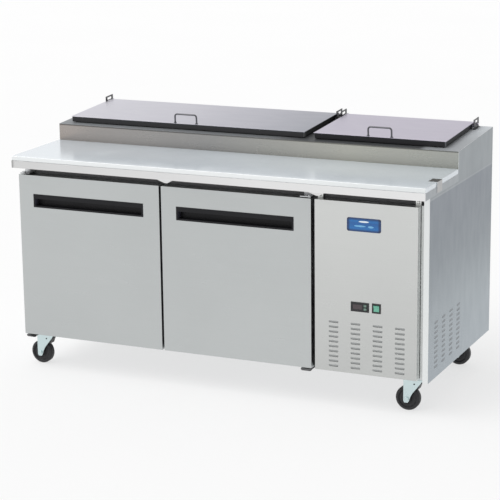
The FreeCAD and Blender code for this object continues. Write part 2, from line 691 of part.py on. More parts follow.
def build_controller():
    """Bezel with a display window and two sprung keys."""
    low, high = CONTROLLER
    bottom, top = CONTROLLER_HEIGHT
    bezel = box("controller_bezel", (low, high), (f"{FACE} - 2.5", FACE), (bottom, top))
    body = box("controller_body", (f"{low} + 3.5", f"{high} - 3.5"), (FACE, f"{FACE} + 58"),
               (f"{bottom} + 3.5", f"{top} - 3.5"))
    window = box("controller_window", (f"{low} + 8", f"{low} + 47"), (f"{FACE} - 3", f"{FACE} - 1.5"),
                 (f"{bottom} + 9", f"{top} - 9"))
    wells = []
    for name, level in KEYS.items():
        wells.append(box(f"key_well_{name}", (f"{low} + 53.6", f"{low} + 66.4"),
                         (f"{FACE} - 3", f"{FACE} + 3"),
                         (f"{bottom} + {level} - 0.4", f"{bottom} + {level} + 10.4")))
        blank = box(f"key_blank_{name}", (f"{low} + 54", f"{low} + 66"), (f"{FACE} - 4", f"{FACE} + 1"),
                    (f"{bottom} + {level}", f"{bottom} + {level} + 10"))
        keep(rounded(f"key_{name}", blank, (0, 1, 0), 2))
    keep(cut("controller", fuse("controller_solid", [bezel, body]), [window] + wells))


def build_rocker():
    """Lit power switch: a bored housing, and a paddle that rocks on a cross pin."""
    low, high = ROCKER
    bottom, top = ROCKER_HEIGHT
    middle = f"(({bottom} + {top}) / 2)"
    bezel = box("rocker_rim", (low, high), (f"{FACE} - 2.5", FACE), (bottom, top))
    barrel = box("rocker_barrel", (f"{low} + 4.5", f"{high} - 4.5"), (FACE, f"{FACE} + 24"),
                 (f"{bottom} + 4.5", f"{top} - 4.5"))
    mouth = box("rocker_mouth", (f"{low} + 6", f"{high} - 6"), (f"{FACE} - 3", f"{FACE} + 16"),
                (f"{bottom} + 6", f"{top} - 6"))
    pivot = (f"{FACE} + 5", middle)
    bore = rod("rocker_bore", "X", (f"{low} + 4", *pivot), f"({high}) - ({low}) - 8", "1.5 + running_gap")
    keep(cut("rocker_bezel", fuse("rocker_housing", [bezel, barrel]), [mouth, bore]))

    # The paddle is drawn about its pivot and tipped to its rest position.
    half = f"(({high}) - ({low}) - 12.8) / 2"
    profile = [("-8", "-11.8"), ("-5.6", "0"), ("-8", "11.8"), ("2", "11.8"), ("6", "3"), ("6", "-3"),
               ("2", "-11.8")]
    paddle = prism("rocker_paddle", "YZ_Plane", profile, f"-{half}", half)
    pin = rod("rocker_pin", "X", (f"-{half} - 1.6", "0", "0"), f"2 * {half} + 3.2", "1.5")
    rocker = fuse("power_rocker", [paddle, pin])
    rocker.Placement = FreeCAD.Placement(FreeCAD.Vector(), FreeCAD.Rotation(FreeCAD.Vector(1, 0, 0), 7))
    keep(place(rocker, f"(({low} + {high}) / 2)", *pivot))


# --- refrigeration -----------------------------------------------------------------------------


COMPRESSOR = (f"({PARTITION} + 250)", f"({FACE} + 480)")


def build_condensing_unit():
    """Finned condenser behind the louvres, its fan, and the hermetic compressor."""
    left = f"({PARTITION} + 45)"
    core = ((left, f"{left} + 330"), (f"{FACE} + 78", f"{FACE} + 122"), (BASE_TOP, f"{BASE_TOP} + 235"))
    block = box("coil_block", core[0], core[1], core[2])
    bends = []
    for number in range(5):
        for end, x in (("a", core[0][0]), ("b", core[0][1])):
            bend = doc.addObject("Part::Torus", f"coil_bend_{number}_{end}")
            bend.Radius1 = 12
            bend.Radius2 = 4.5
            bend.Placement = FreeCAD.Placement(FreeCAD.Vector(), TURN["Y"])
            bends.append(place(bend, x, f"{FACE} + 100", f"{BASE_TOP} + 38 + {number} * 40"))
    keep(fuse("condenser_coil", [block] + bends))

    hub = (f"{left} + 165", f"{BASE_TOP} + 118")
    motor = rod("fan_motor_can", "Y", (hub[0], f"{FACE} + 190", hub[1]), "62", "42")
    shaft = rod("fan_motor_shaft", "Y", (hub[0], f"{FACE} + 160", hub[1]), "31", "4")
    stand = box("fan_motor_stand", (f"{hub[0]} - 25", f"{hub[0]} + 25"), (f"{FACE} + 205", f"{FACE} + 235"),
                (BASE_TOP, f"{hub[1]} - 30"))
    keep(fuse("condenser_fan_motor", [motor, shaft, stand]))
    keep(fan_blade("condenser_fan_blade", hub, f"{FACE} + 148", 98, "Y"))

    centre = COMPRESSOR
    can = rod("compressor_can", "Z", (centre[0], centre[1], f"{BASE_TOP} + 34"), "175", "84")
    doc.recompute()
    dome = doc.addObject("Part::Fillet", "compressor_dome")
    dome.Base = can
    dome.Edges = [(number, 46, 46) for number, edge in enumerate(can.Shape.Edges, start=1)
                  if isinstance(edge.Curve, Part.Circle)]
    foot = box("compressor_foot", (f"{centre[0]} - 105", f"{centre[0]} + 105"),
               (f"{centre[1]} - 62", f"{centre[1]} + 62"), (f"{BASE_TOP} + 26", f"{BASE_TOP} + 38"))
    pieces = [dome, foot]
    for number, (dx, dy) in enumerate(((-85, -45), (85, -45), (-85, 45), (85, 45))):
        spot = (f"{centre[0]} + {dx}", f"{centre[1]} + {dy}", BASE_TOP)
        pieces.append(rod(f"compressor_mount_{number}", "Z", spot, "27", "14"))
    pieces.append(box("compressor_relay", (f"{centre[0]} + 60", f"{centre[0]} + 108"),
                      (f"{centre[1]} - 30", f"{centre[1]} + 30"), (f"{BASE_TOP} + 90", f"{BASE_TOP} + 150")))
    keep(fuse("compressor", pieces))


def fan_blade(name, hub, start, radius, axis):
    """Four flat blades pitched on a round hub, bored for the motor shaft."""
    x, z = hub
    boss = rod(f"{name}_hub", "Y", ("0", "0", "0"), "26", "22")
    pieces = [boss]
    for number in range(4):
        paddle = doc.addObject("Part::Box", f"{name}_paddle_{number}")
        paddle.Length = radius - 18
        paddle.Width = 2
        paddle.Height = 52
        spin = FreeCAD.Rotation(FreeCAD.Vector(0, 1, 0), 90.0 * number)
        pitch = FreeCAD.Rotation(FreeCAD.Vector(1, 0, 0), 24)
        offset = (spin * pitch).multVec(FreeCAD.Vector(18, -1, -26))
        paddle.Placement = FreeCAD.Placement(offset + FreeCAD.Vector(0, 13, 0), spin * pitch)
        pieces.append(paddle)
    solid = fuse(f"{name}_solid", pieces)
    bore = rod(f"{name}_bore", "Y", ("0", "-1", "0"), "30", "4 + running_gap")
    blade = cut(name, solid, [bore])
    if axis == "X":
        blade.Placement = FreeCAD.Placement(FreeCAD.Vector(), FreeCAD.Rotation(FreeCAD.Vector(0, 0, 1), -90))
        return place(blade, start, x, z)
    return place(blade, x, start, z)


EVAPORATOR = (f"({INSIDE_RIGHT} - 112)", INSIDE_RIGHT)


def build_evaporator():
    """Cold coil and fan in a sheet housing on the partition, blowing across the cabinet."""
    y = (f"({WELL_FRONT} + 60)", f"({WELL_FRONT} + 330)")
    z = ("(interior_top - 320)", "(interior_top - 60)")
    gauge = "liner_gauge"
    shell = box("evaporator_shell", EVAPORATOR, y, z)
    hollow = box("evaporator_hollow", (f"{EVAPORATOR[0]} + {gauge}", f"{EVAPORATOR[1]} + 5"),
                 (f"{y[0]} + {gauge}", f"{y[1]} - {gauge}"), (f"{z[0]} - 5", f"{z[1]} - {gauge}"))
    hub = (f"(({y[0]} + {y[1]}) / 2)", "(interior_top - 160)")
    mouth = rod("evaporator_mouth", "X", (f"{EVAPORATOR[0]} - 5", hub[0], hub[1]), "10", "82")
    can = rod("evaporator_motor_can", "X", (f"{EVAPORATOR[0]} + 38", hub[0], hub[1]), "30", "24")
    shaft = rod("evaporator_motor_shaft", "X", (f"{EVAPORATOR[0]} + 8", hub[0], hub[1]), "31", "4")
    strap = box("evaporator_strap", (f"{EVAPORATOR[0]} + 46", f"{EVAPORATOR[0]} + 50"), y,
                (f"{hub[1]} - 12", f"{hub[1]} + 12"))
    keep(fuse("evaporator_housing", [cut("evaporator_case", shell, [hollow, mouth]), can, shaft, strap]))
    keep(fan_blade("evaporator_fan_blade", hub, f"{EVAPORATOR[0]} + 6", 74, "X"))

    core = box("evaporator_block", (f"{EVAPORATOR[1]} - 38", EVAPORATOR[1]), (f"{y[0]} + 22", f"{y[1]} - 22"),
               (f"{z[0]} + 14", f"{z[1]} - 14"))
    bends = []
    for number in range(5):
        for end, depth in (("a", f"{y[0]} + 22"), ("b", f"{y[1]} - 22")):
            bend = doc.addObject("Part::Torus", f"evaporator_bend_{number}_{end}")
            bend.Radius1 = 10
            bend.Radius2 = 4
            bend.Placement = FreeCAD.Placement(FreeCAD.Vector(), TURN["X"])
            bends.append(place(bend, f"{EVAPORATOR[1]} - 19", depth, f"{z[0]} + 40 + {number} * 42"))
    keep(fuse("evaporator_coil", [core] + bends))


def build_refrigerant_lines():
    """Copper lines with brazed corners: compressor to condenser, condenser to evaporator, and back."""
    over = "(interior_top - 110)"
    runs = {
        "discharge": ("3", [(f"{COMPRESSOR[0]} - 40", COMPRESSOR[1], f"{BASE_TOP} + 205"),
                            (f"{COMPRESSOR[0]} - 40", COMPRESSOR[1], f"{BASE_TOP} + 290"),
                            (f"{COMPRESSOR[0]} - 40", f"{FACE} + 100", f"{BASE_TOP} + 290"),
                            (f"{COMPRESSOR[0]} - 40", f"{FACE} + 100", f"{BASE_TOP} + 230")]),
        "liquid": ("3", [(f"{PARTITION} + 60", f"{FACE} + 112", f"{BASE_TOP} + 230"),
                         (f"{PARTITION} + 60", f"{FACE} + 112", f"{BASE_TOP} + 320"),
                         (f"{PARTITION} + 60", f"{WELL_FRONT} + 130", f"{BASE_TOP} + 320"),
                         (f"{PARTITION} + 60", f"{WELL_FRONT} + 130", over),
                         (f"{INSIDE_RIGHT} - 20", f"{WELL_FRONT} + 130", over)]),
        "suction": ("5", [(f"{COMPRESSOR[0]} + 40", COMPRESSOR[1], f"{BASE_TOP} + 205"),
                          (f"{COMPRESSOR[0]} + 40", COMPRESSOR[1], f"{over} + 30"),
                          (f"{COMPRESSOR[0]} + 40", f"{WELL_FRONT} + 250", f"{over} + 30"),
                          (f"{INSIDE_RIGHT} - 20", f"{WELL_FRONT} + 250", f"{over} + 30")]),
    }
    lines = [pipe(f"line_{name}", radius, points) for name, (radius, points) in runs.items()]
    keep(group("refrigerant_lines", lines))


def pipe(name, radius, points):
    """Straight tubes between points that differ along one axis each, with a ball at each corner."""
    pieces = []
    for number in range(len(points) - 1):
        one, two = points[number], points[number + 1]
        axis = next(k for k in range(3) if one[k] != two[k])
        tube = doc.addObject("Part::Cylinder", f"{name}_{number}")
        bind(tube, "Radius", radius)
        bind(tube, "Height", f"abs(({two[axis]}) - ({one[axis]}))")
        tube.Placement = FreeCAD.Placement(FreeCAD.Vector(), TURN["XYZ"[axis]])
        start = list(one)
        start[axis] = f"min({one[axis]}; {two[axis]})"
        pieces.append(place(tube, *start))
        if number:
            ball = doc.addObject("Part::Sphere", f"{name}_corner_{number}")
            bind(ball, "Radius", radius)
            pieces.append(place(ball, *one))
    return fuse(name, pieces)


def build_power_inlet():
    """Recessed mains inlet low on the back."""
    x = (f"{RIGHT} - 136", f"{RIGHT} - 96")
    flange = box("inlet_flange", x, (REAR, f"{REAR} + 3"), ("169", "201"))
    body = box("inlet_body", (f"{RIGHT} - 129", f"{RIGHT} - 103"), (f"{REAR} - 24", REAR), ("176", "194"))
    well = box("inlet_well", (f"{RIGHT} - 126", f"{RIGHT} - 106"), (f"{REAR} - 18", f"{REAR} + 5"),
               ("179", "191"))
    pins = [
        box(f"inlet_pin_{number}", (f"{RIGHT} - {inset}", f"{RIGHT} - {inset} + 2"),
            (f"{REAR} - 20", f"{REAR} - 3"), ("183", "188"))
        for number, inset in enumerate((122, 117, 112))
    ]
    keep(fuse("power_inlet", [cut("inlet_socket", fuse("inlet_solid", [flange, body]), [well])] + pins))


# --- inside the cabinet ------------------------------------------------------------------------

MULLION = f"({LEFT} + door_width + door_gap / 2)"
SHELF_LEVEL = "(base_height + 330)"
BAYS = {
    "left": (f"{INSIDE_LEFT} + 8", f"{MULLION} - 14"),
    "right": (f"{MULLION} + 14", f"{INSIDE_RIGHT} - 8"),
}
SHELF_DEPTH = (f"({FRAME_BACK} + 14)", f"({INSIDE_BACK} - 14)")


def build_shelves():
    """Coated wire shelves: three cross rods with close wires laid over them from front to back."""
    shelves = []
    for bay, (low, high) in BAYS.items():
        rows = {"front": SHELF_DEPTH[0], "middle": f"({SHELF_DEPTH[0]} + {SHELF_DEPTH[1]}) / 2",
                "back": SHELF_DEPTH[1]}
        pieces = [rod(f"shelf_{bay}_{name}", "X", (low, y, SHELF_LEVEL), f"{high} - ({low})", "3.2")
                  for name, y in rows.items()]
        for number in range(16):
            x = f"{low} + 6 + ({high} - ({low}) - 12) * {number} / 15"
            pieces.append(rod(f"shelf_{bay}_wire_{number}", "Y",
                              (x, f"{SHELF_DEPTH[0]} - 5", f"{SHELF_LEVEL} + 4"),
                              f"{SHELF_DEPTH[1]} - {SHELF_DEPTH[0]} + 10", "2"))
        shelves.append(fuse(f"shelf_{bay}", pieces))
    keep(group("shelves", shelves))


def build_shelf_supports():
    """Upright standards at the corners of each bay, each with the clip that its shelf sits on."""
    supports = []
    for bay, (low, high) in BAYS.items():
        for side, x in (("left", (f"{low} + 8", f"{low} + 26")), ("right", (f"{high} - 26", f"{high} - 8"))):
            for end, wall, clip in (
                ("front", (FRAME_BACK, f"{FRAME_BACK} + 6"), (FRAME_BACK, f"{FRAME_BACK} + 20")),
                ("back", (f"{INSIDE_BACK} - 6", INSIDE_BACK), (f"{INSIDE_BACK} - 20", INSIDE_BACK)),
            ):
                name = f"support_{bay}_{side}_{end}"
                upright = box(f"{name}_bar", x, wall, (f"{INSIDE_FLOOR} + 30", "interior_top - 60"))
                tongue = box(f"{name}_clip", x, clip, (f"{SHELF_LEVEL} - 8", f"{SHELF_LEVEL} - 3.3"))
                supports.append(fuse(name, [upright, tongue]))
    keep(group("shelf_supports", supports))


# --- doors -------------------------------------------------------------------------------------


def door_limits(side):
    if side == "left":
        return LEFT, f"({LEFT} + door_width)"
    return f"({LEFT} + door_width + door_gap)", f"({LEFT} + 2 * door_width + door_gap)"


def hinge_x(side):
    low, high = door_limits(side)
    return f"({low} + hinge_inset)" if side == "left" else f"({high} - hinge_inset)"


HINGE_Y = f"({FACE} + hinge_setback)"


def build_hinge_brackets():
    """Pairs of bent plates, above and below each door, with the pin that the door turns on."""
    brackets = []
    for side in ("left", "right"):
        x = hinge_x(side)
        inward = 1 if side == "left" else -1
        front = span(x, inward, "-11", "34")
        rear = span(x, inward, "-11", "13")
        upper = [
            box(f"hinge_{side}_top_plate", front, (f"{HINGE_Y} - 14", FRAME),
                (f"{DOOR_TOP} + 3", f"{DOOR_TOP} + 7")),
            box(f"hinge_{side}_top_leaf", front, (f"{FRAME} - 2", FRAME),
                (f"{DOOR_TOP} + 3", f"{DOOR_TOP} + 30")),
            rod(f"hinge_{side}_top_pin", "Z", (x, HINGE_Y, f"{DOOR_TOP} - 20"), "25", "hinge_pin_radius"),
            rod(f"hinge_{side}_top_head", "Z", (x, HINGE_Y, f"{DOOR_TOP} + 6"), "4", "8"),
        ]
        edges = (front[0], f"{front[0]} + 5", f"{front[1]} - 5", front[1])
        lip = [(edges[0], "base_height"), (edges[0], "base_height - 6"), (edges[1], "base_height - 9"),
               (edges[2], "base_height - 9"), (edges[3], "base_height - 6"), (edges[3], "base_height")]
        lower = [
            prism(f"hinge_{side}_low_lip", "XZ_Plane", lip, f"{HINGE_Y} - 14", f"{HINGE_Y} - 11"),
            box(f"hinge_{side}_low_plate", front, (f"{HINGE_Y} - 14", f"{FRAME} - 2"),
                ("base_height - 4", "base_height")),
            box(f"hinge_{side}_low_tongue", rear, (f"{FRAME} - 4", f"{FRAME} + 40"),
                ("base_height - 4", "base_height")),
            rod(f"hinge_{side}_low_bush", "Z", (x, HINGE_Y, "base_height - 1"),
                "door_bottom - base_height", "8"),
            rod(f"hinge_{side}_low_pin", "Z", (x, HINGE_Y, "base_height - 2"), "24", "hinge_pin_radius"),
            rod(f"hinge_{side}_low_head", "Z", (x, HINGE_Y, "base_height - 8"), "6", "8"),
        ]
        brackets.append(fuse(f"hinge_{side}_top", upper))
        brackets.append(fuse(f"hinge_{side}_low", lower))
    keep(group("door_hinge_brackets", brackets))


def build_door(side):
    """Steel skin, foamed inner panel, push-in seal and the recessed pull."""
    low, high = door_limits(side)
    back = f"{FACE} + door_depth"
    x = hinge_x(side)
    pull = ((f"{low} + pull_inset", f"{low} + pull_inset + pull_width"),
            (f"{DOOR_TOP} - pull_drop - pull_height", f"{DOOR_TOP} - pull_drop"))
    top_bore = ("Z", (x, HINGE_Y, f"{DOOR_TOP} - 24"), "40", "hinge_pin_radius + running_gap")
    low_bore = ("Z", (x, HINGE_Y, "door_bottom - 10"), "36", "hinge_pin_radius + running_gap")

    skin = box(f"door_{side}_skin", (low, high), (FACE, back), ("door_bottom", DOOR_TOP))
    hollow = box(f"door_{side}_hollow", (f"{low} + sheet_gauge", f"{high} - sheet_gauge"),
                 (f"{FACE} + sheet_gauge", f"{back} + 5"),
                 ("door_bottom + sheet_gauge", f"{DOOR_TOP} - sheet_gauge"))
    window = box(f"door_{side}_window", pull[0], (f"{FACE} - 5", f"{FACE} + 5"), pull[1])
    bores = [rod(f"door_{side}_shell_top_bore", *top_bore), rod(f"door_{side}_shell_low_bore", *low_bore)]
    keep(cut(f"door_{side}_shell", skin, [hollow, window] + bores))

    rim = "seal_inset + seal_width + 3"
    block = box(f"door_{side}_block", (f"{low} + sheet_gauge", f"{high} - sheet_gauge"),
                (f"{FACE} + sheet_gauge", back), ("door_bottom + sheet_gauge", f"{DOOR_TOP} - sheet_gauge"))
    raised = box(f"door_{side}_raised", (f"{low} + {rim}", f"{high} - ({rim})"),
                 (f"{back} - 1", f"{back} + seal_depth"), (f"door_bottom + {rim}", f"{DOOR_TOP} - ({rim})"))
    pocket = box(f"door_{side}_pocket", pull[0], (FACE, f"{FACE} + pull_depth"), pull[1])
    bores = [rod(f"door_{side}_inner_top_bore", *top_bore), rod(f"door_{side}_inner_low_bore", *low_bore)]
    keep(cut(f"door_{side}_inner", fuse(f"door_{side}_foam", [block, raised]), [pocket] + bores))

    inset = "seal_inset"
    outer = box(f"door_{side}_seal_outer", (f"{low} + {inset}", f"{high} - {inset}"),
                (back, f"{back} + seal_depth"), (f"door_bottom + {inset}", f"{DOOR_TOP} - {inset}"))
    inside = "(seal_inset + seal_width)"
    inner = box(f"door_{side}_seal_inner", (f"{low} + {inside}", f"{high} - {inside}"),
                (f"{back} - 5", f"{back} + seal_depth + 5"),
                (f"door_bottom + {inside}", f"{DOOR_TOP} - {inside}"))
    keep(cut(f"door_{side}_seal", outer, [inner]))

    liner = box(f"door_{side}_cup", (f"{pull[0][0]} + 0.3", f"{pull[0][1]} - 0.3"),
                (FACE, f"{FACE} + pull_depth - 0.3"), (f"{pull[1][0]} + 0.3", f"{pull[1][1]} - 0.3"))
    rim_plate = box(f"door_{side}_cup_rim", (f"{pull[0][0]} - 3", f"{pull[0][1]} + 3"),
                    (f"{FACE} - 1.5", FACE), (f"{pull[1][0]} - 3", f"{pull[1][1]} + 3"))
    cavity = box(f"door_{side}_cup_cavity", (f"{pull[0][0]} + 4", f"{pull[0][1]} - 4"),
                 (f"{FACE} - 5", f"{FACE} + pull_depth - 3"), (f"{pull[1][0]} + 4", f"{pull[1][1]} - 4"))
    grip = box(f"door_{side}_grip", (f"{pull[0][0]} + 4", f"{pull[0][1]} - 4"),
               (f"{FACE} - 1.5", f"{FACE} + 4"), (f"{pull[1][1]} - 16", f"{pull[1][1]} - 4"))
    cup = cut(f"door_{side}_cup_hollow", fuse(f"door_{side}_cup_solid", [liner, rim_plate]), [cavity])
    keep(fuse(f"door_{side}_handle", [cup, grip]))


# --- casters -----------------------------------------------------------------------------------

CASTERS = {
    "front_left": (f"{LEFT} + caster_inset", f"{FACE} + caster_front_setback"),
    "front_right": (f"{RIGHT} - caster_inset", f"{FACE} + caster_front_setback"),
    "rear_left": (f"{LEFT} + caster_inset", f"{REAR} - caster_rear_setback"),
    "rear_right": (f"{RIGHT} - caster_inset", f"{REAR} - caster_rear_setback"),
}


def build_caster_plates():
    """Top plates with the ball race cups and king pins, and their bolt heads under the base."""
    plates = []
    for corner, (x, y) in CASTERS.items():
        plate = box(f"plate_{corner}_flat", (f"{x} - 37", f"{x} + 37"), (f"{y} - 37", f"{y} + 37"),
                    ("base_height - 4", "base_height"))
        cup = rod(f"plate_{corner}_cup", "Z", (x, y, "base_height - 11"), "8", "30")
        king = rod(f"plate_{corner}_king", "Z", (x, y, "base_height - 23"), "17", "6")
        nut = rod(f"plate_{corner}_nut", "Z", (x, y, "base_height - 22"), "5.5", "11")
        bolts = []
        for number, (dx, dy) in enumerate(((-30, -30), (30, -30), (-30, 30), (30, 30))):
            spot = (f"{x} + {dx}", f"{y} + {dy}", "base_height - 8")
            bolts.append(rod(f"plate_{corner}_bolt_{number}", "Z", spot, "5", "5"))
        plates.append(fuse(f"plate_{corner}", [plate, cup, king, nut] + bolts))
    keep(group("caster_plates", plates))


PEDAL = ("(-9)", "(base_height - 31)")


def build_fork(corner):
    """Pressed swivel fork with two legs, and the axle bolt through them."""
    x, y = CASTERS[corner]
    crown_top = "(base_height - 12)"
    crown = box(f"fork_{corner}_crown", ("-caster_trail - 14", "26"), ("-23", "23"),
                (f"{crown_top} - 3.5", crown_top))
    race = rod(f"fork_{corner}_race", "Z", ("0", "0", f"{crown_top} - 3.5"), "3.5", "29")
    hole = rod(f"fork_{corner}_hole", "Z", ("0", "0", f"{crown_top} - 10"), "20", "6 + running_gap")
    edge = ((-14, -8), (-10, -16), (4, -16), (9, -9), (15, 9), (24, 26), (40, 46), (54, 64))
    below = [(f"{dx} - caster_trail", f"wheel_radius + {dz}") for dx, dz in edge]
    leg = [("-14 - caster_trail", crown_top)] + below + [("26", crown_top)]
    legs = [prism(f"fork_{corner}_leg_{end}", "XZ_Plane", leg, low, high)
            for end, low, high in (("a", "-23", "-20"), ("b", "20", "23"))]
    axle_bore = rod(f"fork_{corner}_axle_bore", "Y", ("-caster_trail", "-30", "wheel_radius"), "60",
                    "axle_radius + running_gap")
    drills = [hole, axle_bore]
    if corner.startswith("front"):
        bore = (PEDAL[0], "-30", PEDAL[1])
        drills.append(rod(f"fork_{corner}_pedal_bore", "Y", bore, "60", "3 + running_gap"))
    frame = cut(f"fork_{corner}_frame", fuse(f"fork_{corner}_pressing", [crown, race] + legs), drills)
    axle = fuse(f"fork_{corner}_axle", [
        rod(f"fork_{corner}_axle_shank", "Y", ("-caster_trail", "-24", "wheel_radius"), "48", "axle_radius"),
        rod(f"fork_{corner}_axle_head", "Y", ("-caster_trail", "-27", "wheel_radius"), "4", "8"),
        rod(f"fork_{corner}_axle_nut", "Y", ("-caster_trail", "23", "wheel_radius"), "5", "8"),
    ])
    keep(place(group(f"caster_fork_{corner}", [frame, axle]), x, y))


def build_wheel(corner):
    """Wheel with a rounded tread, bored to run on the axle bolt."""
    x, y = CASTERS[corner]
    half = "wheel_width / 2"
    wheel = turned(f"caster_wheel_{corner}", [
        ("-18", "axle_radius + running_gap"), ("-18", "16"), ("-11", "18"), ("-11", "34"),
        (f"-{half} + 1", "37"), (f"-{half}", "41"), (f"-{half} + 3", "wheel_radius - 2.5"),
        (f"-{half} + 7", "wheel_radius"),
        (f"{half} - 7", "wheel_radius"), (f"{half} - 3", "wheel_radius - 2.5"), (half, "41"),
        (f"{half} - 1", "37"), ("11", "34"), ("11", "18"), ("18", "16"), ("18", "axle_radius + running_gap")])
    keep(place(wheel, f"{x} - caster_trail", y, "wheel_radius"))


def build_pedal(corner):
    """Foot pedal with a brake shoe below, turning on a pin through the fork's legs."""
    x, y = CASTERS[corner]
    tread = prism(f"pedal_{corner}_tread", "XZ_Plane",
                  [("-6", "4"), ("-7", "-3"), ("0", "-10"), ("6", "-17"), ("8", "-22"), ("14", "-23"),
                   ("17", "-14"), ("21", "-4"), ("20", "2"), ("10", "4")], "-18", "18")
    pin = rod(f"pedal_{corner}_pin", "Y", ("0", "-24", "0"), "48", "3")
    pedal = fuse(f"brake_pedal_{corner}", [tread, pin])
    keep(place(pedal, f"{x} + {PEDAL[0]}", y, PEDAL[1]))


# --- build and write ---------------------------------------------------------------------------

build_sides()
build_back_and_base()
build_insulation()
build_liner()
build_door_frame()
build_worktop()
build_board_brackets()
build_rail()
build_pans()
build_lid_lugs()
for side in LIDS:
    build_lid(side)
build_louvred_panel()
build_panel_screws()
build_controller()
build_rocker()
build_condensing_unit()
build_evaporator()
build_refrigerant_lines()
build_power_inlet()
build_shelves()
build_shelf_supports()
build_hinge_brackets()
for side in ("left", "right"):
    build_door(side)
build_caster_plates()
for corner in CASTERS:
    build_fork(corner)
    build_wheel(corner)
for corner in ("front_left", "front_right"):
    build_pedal(corner)

doc.recompute()
for item in doc.Objects:
    if "Invalid" in item.State or "Error" in item.State:
        raise RuntimeError(f"{item.Label} did not rebuild: {item.State}")
for piece in SUBPARTS:
    if piece.Shape.isNull() or not piece.Shape.isValid() or not piece.Shape.Solids:
        raise RuntimeError(f"{piece.Label} has no valid solid")

os.makedirs("parts", exist_ok=True)
for piece in SUBPARTS:
    piece.Shape.exportStep(os.path.join("parts", f"{piece.Label}.step"))
print(f"{len(SUBPARTS)} sub-parts written")
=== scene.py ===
import json
import math

import bmesh
import bpy
from mathutils import Matrix, Vector


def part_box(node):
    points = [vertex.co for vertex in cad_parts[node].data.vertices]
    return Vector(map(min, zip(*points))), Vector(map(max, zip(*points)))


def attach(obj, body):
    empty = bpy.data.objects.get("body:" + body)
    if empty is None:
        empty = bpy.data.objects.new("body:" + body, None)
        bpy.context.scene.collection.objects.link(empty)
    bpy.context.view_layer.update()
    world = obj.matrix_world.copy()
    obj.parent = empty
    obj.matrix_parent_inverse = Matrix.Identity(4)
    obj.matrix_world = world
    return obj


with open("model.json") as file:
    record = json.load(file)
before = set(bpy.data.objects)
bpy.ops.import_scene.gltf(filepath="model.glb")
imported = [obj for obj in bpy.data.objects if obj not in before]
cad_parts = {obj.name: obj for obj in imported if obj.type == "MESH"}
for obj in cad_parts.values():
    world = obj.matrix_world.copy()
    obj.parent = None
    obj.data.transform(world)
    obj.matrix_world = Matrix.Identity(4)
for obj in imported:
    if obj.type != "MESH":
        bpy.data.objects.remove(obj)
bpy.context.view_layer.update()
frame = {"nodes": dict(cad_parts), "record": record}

scene = bpy.context.scene
MM = 0.001


# --- materials ---------------------------------------------------------------------------------


